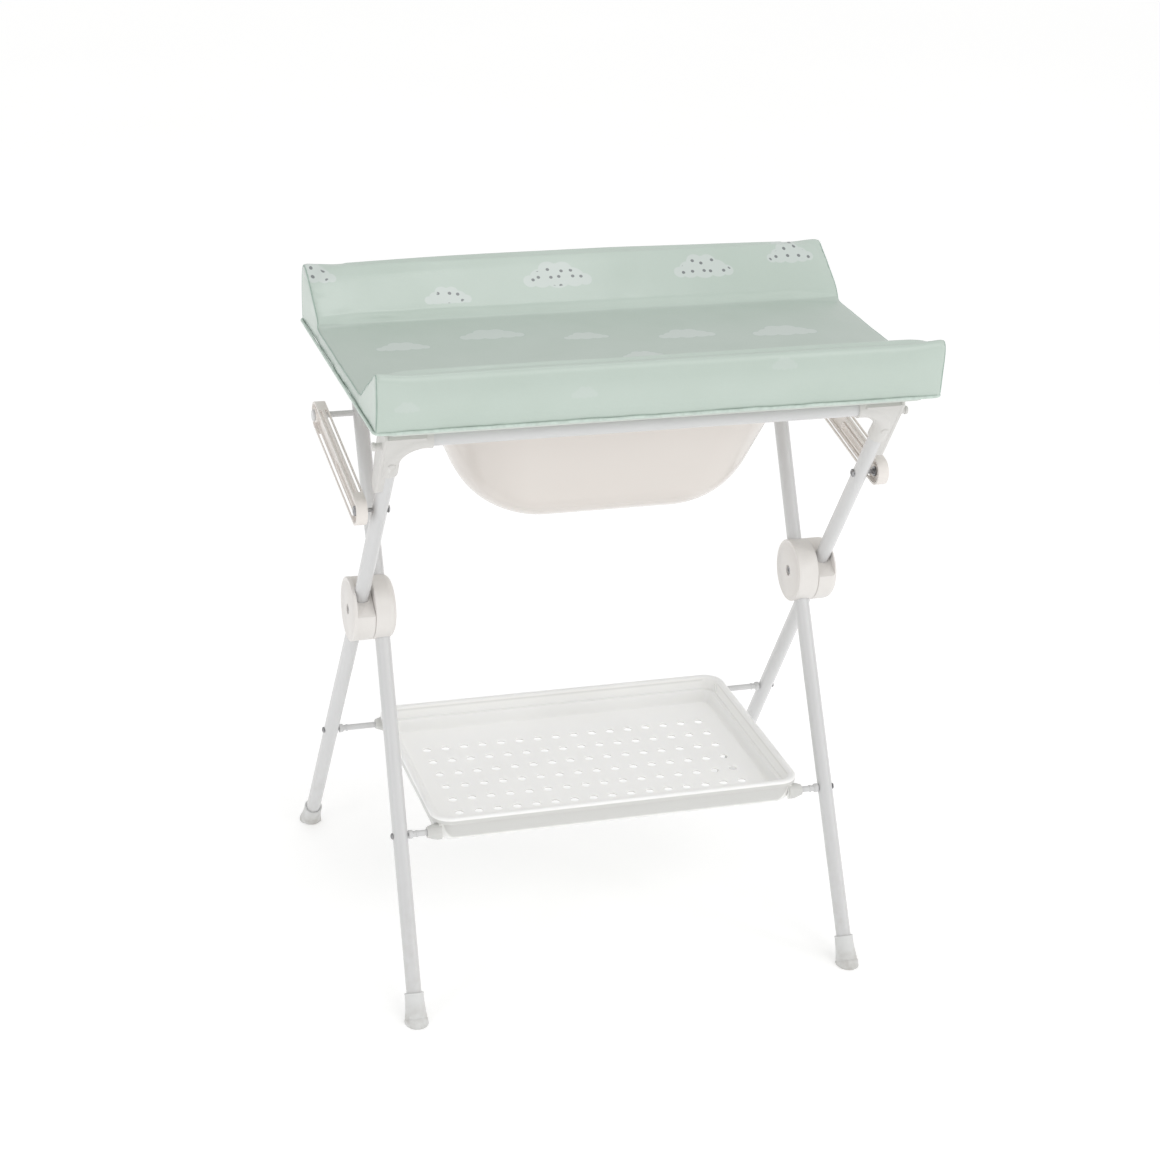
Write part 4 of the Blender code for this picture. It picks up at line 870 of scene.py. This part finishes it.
def build_tub_fittings():
    for side, word in SIDES:
        lo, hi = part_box(word + "_tub_clip")
        x0, x1, outer_r, inner_r = lo.x, hi.x, 0.0146, TUBE_R + 0.0004
        width = x1 - x0
        profile = [(outer_r, 0.0010), (outer_r, width - 0.0010), (outer_r - 0.0010, width), (inner_r + 0.0008, width),
                   (inner_r, width - 0.0008), (inner_r, 0.0008), (inner_r + 0.0008, 0.0), (outer_r - 0.0010, 0.0)]
        clip = lathe_ring(word + "_tub_clip_shell", profile, (x0, REAR_RAIL.y, REAR_RAIL.z), (1, 0, 0), 72)
        tongue = box(word + "_tongue", (x0, x1), (REAR_RAIL.y - 0.0230, REAR_RAIL.y - 0.0045),
                     (TUB_TOP - 0.0032, TUB_TOP - 0.0003))
        join(clip, tongue)
        soften(clip, 0.0004, 2, 50)
        place(clip, "tub", ARM_PLASTIC, "arm_plastic", word + "_tub_clip")
        lo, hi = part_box(word + "_rim_pad")
        pad = box(word + "_rim_pad_block", (lo.x, hi.x), (lo.y, hi.y), (lo.z, hi.z))
        soften(pad, 0.0010, 3, 40)
        place(pad, "tub", FOOT_RUBBER, "foot_rubber", word + "_rim_pad")
        build_mat_hinge(word)


def build_mat_hinge(word):
    """A butt hinge: two plates with rolled knuckles on one pin, two screws in the base plate."""
    knuckle, pin = 0.0046, 0.0020
    axis = (MAT_HINGE.y, MAT_HINGE.z)
    for half, body in (("base", "tub"), ("leaf", "mat")):
        lo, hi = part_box(word + "_mat_hinge_" + half)
        cx = (lo.x + hi.x) / 2
        if half == "base":
            z0 = lo.z
            piece = box(word + "_hinge_base_plate", (lo.x, hi.x), (lo.y, axis[0] - 0.0020), (z0, z0 + 0.0022))
            spans = ((lo.x, cx - 0.0075), (cx + 0.0075, hi.x))
        else:
            z0 = hi.z
            piece = box(word + "_hinge_leaf_plate", (lo.x, hi.x), (lo.y, axis[0]), (axis[1] + 0.0024, z0))
            spans = ((cx - 0.0070, cx + 0.0070),)
        soften(piece, 0.0004, 2, 40)
        for i, (x0, x1) in enumerate(spans):
            join(piece, rod("knuckle%d" % i, (x0, *axis), (x1, *axis), knuckle, 40))
            if half == "base":
                join(piece, box("web%d" % i, (x0, x1), (axis[0] - 0.0045, axis[0] - 0.0022), (z0 + 0.0005, axis[1])))
        if half == "base":
            join(piece, rod("hinge_pin", (cx - 0.012, *axis), (cx + 0.012, *axis), pin, 24))
            for off in (-0.011, 0.011):
                head = pan_head("hinge_screw", (cx + off, lo.y + 0.0075, z0 + 0.0020), (0, 0, 1), 0.0034, 0.0018, 0.001)
                join(piece, head)
        else:
            cut(piece, rod("hinge_bore", (cx - 0.012, *axis), (cx + 0.012, *axis), pin + 0.0003, 24))
        place(piece, body, STEEL, "dark_steel", word + "_mat_hinge_" + half)


# ---------------------------------------------------------------- mat
MAT_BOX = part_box("mat_pad")
MAT_HALF_X = MAT_BOX[1].x
MAT_FRONT, MAT_BACK, MAT_BOTTOM = MAT_BOX[0].y, MAT_BOX[1].y, MAT_BOX[0].z
FLOOR_Z = MOUNT_AT["mat_floor"].z
CREASE_BACK = 0.0895            # where the rear bolster meets the mat's floor
CREASE_FRONT = -0.1800
BOW = 0.006                     # the rear crest stands this much higher in the middle

MINT = (0.520, 0.604, 0.548)
MINT_DEEP = (0.498, 0.584, 0.524)
PRINT_PALE = (0.620, 0.665, 0.650)
PRINT_DOT = (0.10, 0.11, 0.12)
FLOOR_PAINTED_SHADE = 0.10              # painted shade: how much darker the mat's floor is painted than the bolsters


def mat_section():
    """The pad's outline in the YZ plane, from its front lower edge over both bolsters to the back."""
    front, back, low = MAT_FRONT, MAT_BACK, MAT_BOTTOM
    out = [(front + 0.0030, low), (front + 0.0012, low + 0.0050), (front + 0.0004, low + 0.0300),
           (front + 0.0006, low + 0.0580), (front + 0.0016, low + 0.0760), (front + 0.0040, low + 0.0832),
           (front + 0.0088, low + 0.0850), (front + 0.0150, low + 0.0822), (front + 0.0400, low + 0.0660),
           (front + 0.0700, low + 0.0440), (front + 0.0900, low + 0.0285), (CREASE_FRONT - 0.0050, FLOOR_Z + 0.0018),
           (CREASE_FRONT + 0.0040, FLOOR_Z)]
    out += [(CREASE_BACK - 0.0040, FLOOR_Z), (CREASE_BACK + 0.0014, FLOOR_Z - 0.0004), (CREASE_BACK - 0.0012, FLOOR_Z + 0.0040),
            (CREASE_BACK - 0.0010, FLOOR_Z + 0.0090), (CREASE_BACK + 0.0022, FLOOR_Z + 0.0134),
            (CREASE_BACK + 0.0085, FLOOR_Z + 0.0172), (CREASE_BACK + 0.0300, FLOOR_Z + 0.0322),
            (CREASE_BACK + 0.0580, FLOOR_Z + 0.0505), (back - 0.0270, FLOOR_Z + 0.0625), (back - 0.0180, FLOOR_Z + 0.0672),
            (back - 0.0110, FLOOR_Z + 0.0684), (back - 0.0056, FLOOR_Z + 0.0664), (back - 0.0026, FLOOR_Z + 0.0600),
            (back - 0.0008, FLOOR_Z + 0.0400), (back - 0.0002, low + 0.0150), (back - 0.0014, low + 0.0040),
            (back - 0.0036, low)]
    return [Vector((0, y, z)) for y, z in out]


def seam_room(p, outline):
    """The distance from a point of the pad to the nearest seam: both end outlines and the two lower edges."""
    flat = Vector((0, p.y, p.z))
    to_outline = min(near_segment(flat, a, b) for a, b in zip(outline, outline[1:] + outline[:1]))
    end = math.hypot(MAT_HALF_X - abs(p.x), to_outline)
    low = min((flat - outline[0]).length, (flat - outline[-1]).length)
    return min(end, low)


def near_segment(p, a, b):
    ab = b - a
    t = max(0.0, min(1.0, (p - a).dot(ab) / max(ab.length_squared, 1e-12)))
    return (p - (a + ab * t)).length


def build_mat():
    outline = mat_section()
    bm = bmesh.new()
    rings = []
    stations = 24
    for i in range(stations + 1):
        s = -1 + 2 * i / stations
        row = []
        for p in outline:
            rise = BOW * (1 - s * s) * max(0.0, min(1.0, (p.y - CREASE_BACK - 0.02) / 0.06)) * max(
                0.0, min(1.0, (p.z - FLOOR_Z) / 0.05))
            row.append(bm.verts.new((s * (MAT_HALF_X - 0.0015), p.y, p.z + rise)))
        rings.append(row)
    bridge(bm, rings)
    pad = new_object("mat_pad_cover", bm, 180)
    remesh = pad.modifiers.new("remesh", "REMESH")
    remesh.mode = "VOXEL"
    remesh.voxel_size = 0.0055
    apply_modifiers(pad, 180)
    room = [seam_room(v.co, outline) for v in pad.data.vertices]
    plump(pad, room)
    pucker(pad, room)
    smooth = pad.modifiers.new("fine", "SUBSURF")
    smooth.levels = smooth.render_levels = 1
    apply_modifiers(pad, 180)
    place(pad, "mat", vinyl(), "mat_vinyl", "mat_pad")
    build_mat_trim(pad, outline)
    build_board()


def plump(pad, room):
    """Fills the cover: cloth under pressure, each point held to a travel that grows away from the seams."""
    rest = [v.co.copy() for v in pad.data.vertices]
    cloth = pad.modifiers.new("cloth", "CLOTH")
    settings = cloth.settings
    settings.quality = 5
    settings.mass = 0.3
    settings.tension_stiffness = settings.compression_stiffness = 20
    settings.shear_stiffness = 8
    settings.bending_stiffness = 2
    settings.use_pressure = True
    settings.uniform_pressure_force = 4
    settings.effector_weights.gravity = 0
    cloth.collision_settings.use_collision = False
    scene = bpy.context.scene
    for f in range(1, 21):
        scene.frame_set(f)
    apply_modifiers(pad, 180)
    scene.frame_set(1)
    for v, start, d in zip(pad.data.vertices, rest, room):
        step = v.co - start
        most = 0.0008 + 0.0040 * min(1.0, d / 0.045)
        if step.length > most:
            step *= most / step.length
        v.co = start + step
    keep_flat(pad)


def keep_flat(pad):
    """The underside rests on its board, and the back stays clear of the arms when the mat stands up."""
    for v in pad.data.vertices:
        v.co.z = max(v.co.z, MAT_BOTTOM)
        v.co.y = min(v.co.y, MAT_BACK - 0.0006)


def pucker(pad, room):
    """Small gathers beside the seams and slow dents on the long faces."""
    normals = [v.normal.copy() for v in pad.data.vertices]
    for v, n, d in zip(pad.data.vertices, normals, room):
        p = v.co
        gather = noise.noise(Vector((p.x * 62, p.y * 40, p.z * 22))) * 0.0011 * math.exp(-d / 0.016)
        slow = noise.noise(Vector((p.x * 7, p.y * 10, p.z * 16 + 3))) * 0.0011
        roll = math.exp(-((p.y - CREASE_BACK) ** 2 + (p.z - FLOOR_Z - 0.009) ** 2) / 0.00022)
        fold = noise.noise(Vector((p.x * 26, 5, p.z * 30))) * 0.0014 * roll
        v.co = p + n * (gather + slow + fold)
    keep_flat(pad)
    pad.data.update()


def on_cover(tree, point, lift):
    at, normal, _, _ = tree.find_nearest(point)
    return at + normal * lift


def build_mat_trim(pad, outline):
    """The weld bead round both ends, its own vinyl darkened further as painted shade of the seam's shadow line, and the
    piping round the lower edge.
    """
    dg = bpy.context.evaluated_depsgraph_get()
    tree = BVHTree.FromObject(pad.evaluated_get(dg), dg)
    # the weld bead's own vinyl, darkened further as painted shade for the shadow line along the end seams
    dark_weld_painted_shade = vinyl_trim("vinyl_weld_painted_shade", (0.36, 0.47, 0.41), 0.38)
    for side, word in SIDES:
        path = []
        closed = outline + outline[:1]
        for a, b in zip(closed[:-1], closed[1:]):
            steps = max(1, round((b - a).length / 0.003))
            path += [a + (b - a) * (i / steps) for i in range(steps)]
        line = [on_cover(tree, Vector((side * (MAT_HALF_X - 0.0010), p.y, p.z)), 0.0001) for p in path]
        line = relax(line, 6)
        bead = sweep(word + "_mat_edge_weld", line, 0.00095, 10, closed=True)
        place(bead, "mat", dark_weld_painted_shade, "mat_vinyl")
    x, y0, y1 = MAT_HALF_X - 0.0010, MAT_FRONT + 0.0016, MAT_BACK - 0.0022
    corner = 0.010
    loop = []
    for cx, cy, base in ((x - corner, y0 + corner, -90), (x - corner, y1 - corner, 0), (-x + corner, y1 - corner, 90),
                         (-x + corner, y0 + corner, 180)):
        loop += [Vector((px, py, 0)) for px, py in arc(cx, cy, corner, base, base + 90, 6)]
    path = []
    for a, b in zip(loop, loop[1:] + loop[:1]):
        steps = max(1, round((b - a).length / 0.004))
        path += [a + (b - a) * (i / steps) for i in range(steps)]
    line = []
    for p in path:
        wave = noise.noise(Vector((p.x * 34, p.y * 34, 7.0)))
        line.append(Vector((p.x * (1 + 0.0010 * wave), p.y + 0.0005 * wave * (1 if p.y > 0 else -1),
                            MAT_BOTTOM + 0.0026 + 0.0009 * wave)))
    piping = sweep("mat_piping", line, 0.0021, 14, closed=True)
    place(piping, "mat", vinyl_trim("vinyl_piping", (0.60, 0.70, 0.64), 0.36), "mat_vinyl")


def relax(line, rounds):
    for _ in range(rounds):
        n = len(line)
        line = [(line[i - 1] + line[i] * 2 + line[(i + 1) % n]) / 4 for i in range(n)]
    return line


def build_board():
    lo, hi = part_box("mat_board")
    bm = bmesh.new()
    cy = (lo.y + hi.y) / 2
    rings = []
    for inset, z in ((0.0014, lo.z), (0.0004, lo.z + 0.0004), (0.0, lo.z + 0.0014), (0.0, hi.z - 0.0014),
                     (0.0004, hi.z - 0.0004), (0.0014, hi.z)):
        rings.append([bm.verts.new((x, y, z)) for x, y in round_rect(hi.x - inset, (hi.y - lo.y) / 2 - inset,
                                                                    0.018 - inset, cy, 12)])
    bridge(bm, rings)
    board = new_object("mat_base_board", bm, 50)
    place(board, "mat", moulded("board_material", (0.70, 0.74, 0.70), (0.64, 0.68, 0.64), 0.55, 500, 0.12), "board",
          "mat_board")


def vinyl_base(n, light, dark):
    """Soft vinyl: pebbled grain, faint mottling and handling marks."""
    colour = n.blend(n.spread(n.noise(9, 3), 0.35, 0.68), light, dark)
    grain = n.cells(760, "DISTANCE_TO_EDGE")
    pebble = n.math("MULTIPLY", n.spread(grain, 0.0, 0.12), n.spread(n.noise(240, 2), 0.3, 0.7, 0.6, 1.0))
    colour = n.blend(n.spread(pebble, 0.0, 1.0, 0.10, 0.0), colour, tuple(c * 0.72 for c in dark))
    normal = n.bump(pebble, 0.10, 0.0005, n.bump(n.noise(34, 3), 0.10, 0.0030))
    rough = n.spread(n.noise(14, 3), 0.3, 0.7, 0.34, 0.46)
    return colour, rough, normal


def vinyl_trim(name, colour, rough):
    n = Nodes(name)
    shade = n.blend(n.spread(n.noise(120, 3), 0.35, 0.7), colour, tuple(c * 0.86 for c in colour))
    ribs = n.math("SINE", n.math("MULTIPLY", n.axis("X"), 2100))
    return n.done(shade, n.spread(n.noise(60, 2), 0.3, 0.7, rough - 0.05, rough + 0.06),
                  n.bump(ribs, 0.10, 0.0004, n.bump(n.noise(500, 2), 0.10, 0.0004)))


# cloud prints: (middle along x, height up the face, size); the face is the rear bolster's inner one
REAR_CLOUDS = ((-0.392, 0.973, 0.80), (-0.203, 0.946, 0.80), (-0.034, 0.962, 1.20), (0.193, 0.963, 1.08),
               (0.336, 0.972, 0.88))
FRONT_CLOUDS = ((-0.357, 0.930, 0.38), (-0.118, 0.935, 0.42), (0.162, 0.957, 0.42))
FLOOR_MOTIFS = ((-0.165, 0.010, 1.10), (-0.035, -0.020, 0.78), (0.110, -0.035, 1.00), (0.255, -0.045, 1.15),
                (-0.300, -0.020, 0.90), (0.020, -0.110, 0.70))
PUFFS = ((0.0, 0.0, 0.0180), (-0.0205, -0.0030, 0.0135), (0.0205, -0.0030, 0.0140), (-0.0090, 0.0085, 0.0125),
         (0.0095, 0.0080, 0.0120), (0.0345, -0.0070, 0.0085), (-0.0345, -0.0065, 0.0085))


def cloud_mask(n, flat, clouds, stretch):
    """How far a point lies outside a set of clouds, each a union of round puffs."""
    nearest = None
    for cx, cv, size in clouds:
        for px, pv, pr in PUFFS:
            node = n.node("ShaderNodeVectorMath", operation="DISTANCE")
            n.feed(node.inputs[0], flat)
            node.inputs[1].default_value = (cx + px * size, (cv + pv * size / stretch) * stretch, 0)
            away = n.math("SUBTRACT", node.outputs["Value"], pr * size)
            nearest = away if nearest is None else n.math("MINIMUM", nearest, away)
    return nearest


def face_plane(n, across, stretch):
    """Coordinates on a face: x, and another axis stretched to true length."""
    node = n.node("ShaderNodeCombineXYZ")
    n.feed(node.inputs[0], n.axis("X"))
    n.feed(node.inputs[1], n.math("MULTIPLY", n.axis(across), stretch))
    return node.outputs[0]


def vinyl():
    """The cover: mint vinyl with dotted clouds on the rear bolster, pale ones in front, plain shapes and painted shade
    on the floor.
    """
    n = Nodes("mint_vinyl")
    colour, rough, normal = vinyl_base(n, MINT, MINT_DEEP)
    z, y = n.axis("Z"), n.axis("Y")
    on_rear = n.math("MULTIPLY", n.spread(y, CREASE_BACK + 0.008, CREASE_BACK + 0.010),
                     n.spread(y, MAT_BACK - 0.0040, MAT_BACK - 0.0060))
    on_front = n.spread(y, MAT_FRONT + 0.0060, MAT_FRONT + 0.0050)
    on_floor = n.math("MULTIPLY", n.spread(z, FLOOR_Z + 0.0075, FLOOR_Z + 0.0060), n.math("MULTIPLY", n.spread(
        y, CREASE_FRONT, CREASE_FRONT + 0.002), n.spread(y, CREASE_BACK, CREASE_BACK - 0.002)))
    # painted shade: the mat's floor between the creases is darkened towards black
    colour = n.blend(n.math("MULTIPLY", on_floor, FLOOR_PAINTED_SHADE), colour, (0.0, 0.0, 0.0))
    slope = 1.65                # true length up the rear bolster's face for each unit of height
    rear = face_plane(n, "Z", slope)
    rear_gap = cloud_mask(n, rear, REAR_CLOUDS, slope)
    rear_cloud = n.math("MULTIPLY", n.spread(rear_gap, 0.0009, -0.0006), on_rear)
    colour = n.blend(n.math("MULTIPLY", rear_cloud, 0.70), colour, PRINT_PALE)
    dots = n.cells(64, "F1", 0.50, rear, "2D")
    dot = n.math("MULTIPLY", n.spread(dots, 0.185, 0.150), n.math("MULTIPLY", n.spread(rear_gap, -0.0024, -0.0036), on_rear))
    colour = n.blend(n.math("MULTIPLY", dot, 0.80), colour, PRINT_DOT)
    front = face_plane(n, "Z", 1.0)
    front_cloud = n.math("MULTIPLY", n.spread(cloud_mask(n, front, FRONT_CLOUDS, 1.0), 0.0015, -0.0010), on_front)
    colour = n.blend(n.math("MULTIPLY", front_cloud, 0.26), colour, PRINT_PALE)
    floor = face_plane(n, "Y", 1.0)
    floor_gap = cloud_mask(n, floor, FLOOR_MOTIFS, 1.0)
    floor_cloud = n.math("MULTIPLY", n.spread(floor_gap, 0.0010, -0.0008), on_floor)
    colour = n.blend(n.math("MULTIPLY", floor_cloud, 0.55), colour, PRINT_PALE)
    rings = n.math("MULTIPLY", n.spread(n.math("ABSOLUTE", floor_gap), 0.0012, 0.0004), on_floor)
    colour = n.blend(n.math("MULTIPLY", rings, 0.30), colour, (0.30, 0.40, 0.36))
    return n.done(colour, rough, normal, Coat_Weight=0.5, Coat_Roughness=0.20)


# ---------------------------------------------------------------- stage
def build_stage():
    """A plain pale floor that fills the view, and soft even light from above, the front and the left."""
    bm = bmesh.new()
    bmesh.ops.create_grid(bm, x_segments=1, y_segments=1, size=40.0)
    floor = new_object("studio_floor", bm)
    n = Nodes("studio_floor_material")
    floor.data.materials.append(n.done(n.blend(n.spread(n.noise(0.8, 2), 0.3, 0.7), (0.93, 0.93, 0.93), (0.92, 0.92, 0.92)),
                                       n.spread(n.noise(3, 2), 0.3, 0.7, 0.85, 0.95), n.bump(n.noise(200, 2), 0.02, 0.001),
                                       Specular_IOR_Level=0.2, Emission_Color=(1.0, 1.0, 1.0, 1.0),
                                       Emission_Strength=0.26))
    floor.location.z = -0.0005
    world = bpy.data.worlds.new("studio_world")
    bpy.context.scene.world = world
    world.use_nodes = True
    back = world.node_tree.nodes["Background"]
    back.inputs["Color"].default_value = (1.0, 1.0, 0.995, 1.0)
    back.inputs["Strength"].default_value = 0.71
    sun = add_light("key_softbox", "SUN", (1.3, -3.2, 3.6), 0.38, (1.0, 0.995, 0.985))
    sun.angle = math.radians(34)
    for name, at, power, wide, tall in (("left_strip", (-3.4, -2.0, 1.5), 14, 0.30, 2.6),
                                        ("right_strip", (3.2, -2.6, 1.6), 20, 0.30, 2.4),
                                        ("overhead", (0.0, 0.1, 3.0), 6, 1.5, 0.4)):
        light = add_light(name, "AREA", at, power, (1.0, 1.0, 1.0))
        light.shape = "RECTANGLE"
        light.size, light.size_y = wide, tall


def add_light(name, kind, at, power, colour):
    light = bpy.data.lights.new(name, kind)
    light.energy = power
    light.color = colour
    ob = bpy.data.objects.new(name, light)
    bpy.context.scene.collection.objects.link(ob)
    ob.location = at
    ob.rotation_euler = (Vector((0, 0, 0.5)) - Vector(at)).to_track_quat("-Z", "Y").to_euler()
    return light


def build_camera():
    """A long lens above and to the left of the table's front."""
    yaw, pitch, roll = 18.29, -24.20, 2.74
    data = bpy.data.cameras.new("camera")
    data.sensor_width = 36.0
    data.lens = 78.25
    data.clip_start, data.clip_end = 0.1, 60.0
    camera = bpy.data.objects.new("camera", data)
    bpy.context.scene.collection.objects.link(camera)
    turn = Matrix.Rotation(math.radians(-yaw), 4, "Z") @ Matrix.Rotation(math.radians(90 + pitch), 4, "X") @ Matrix.Rotation(
        math.radians(roll), 4, "Z")
    camera.matrix_world = Matrix.Translation((-1.0897, -3.2397, 2.0649)) @ turn
    bpy.context.scene.camera = camera


build_camera()
build_leg_frames()
build_hubs()
build_brackets()
build_arms()
build_tray()
build_tub()
build_mat()
build_stage()
bpy.context.scene.view_settings.view_transform = "Standard"
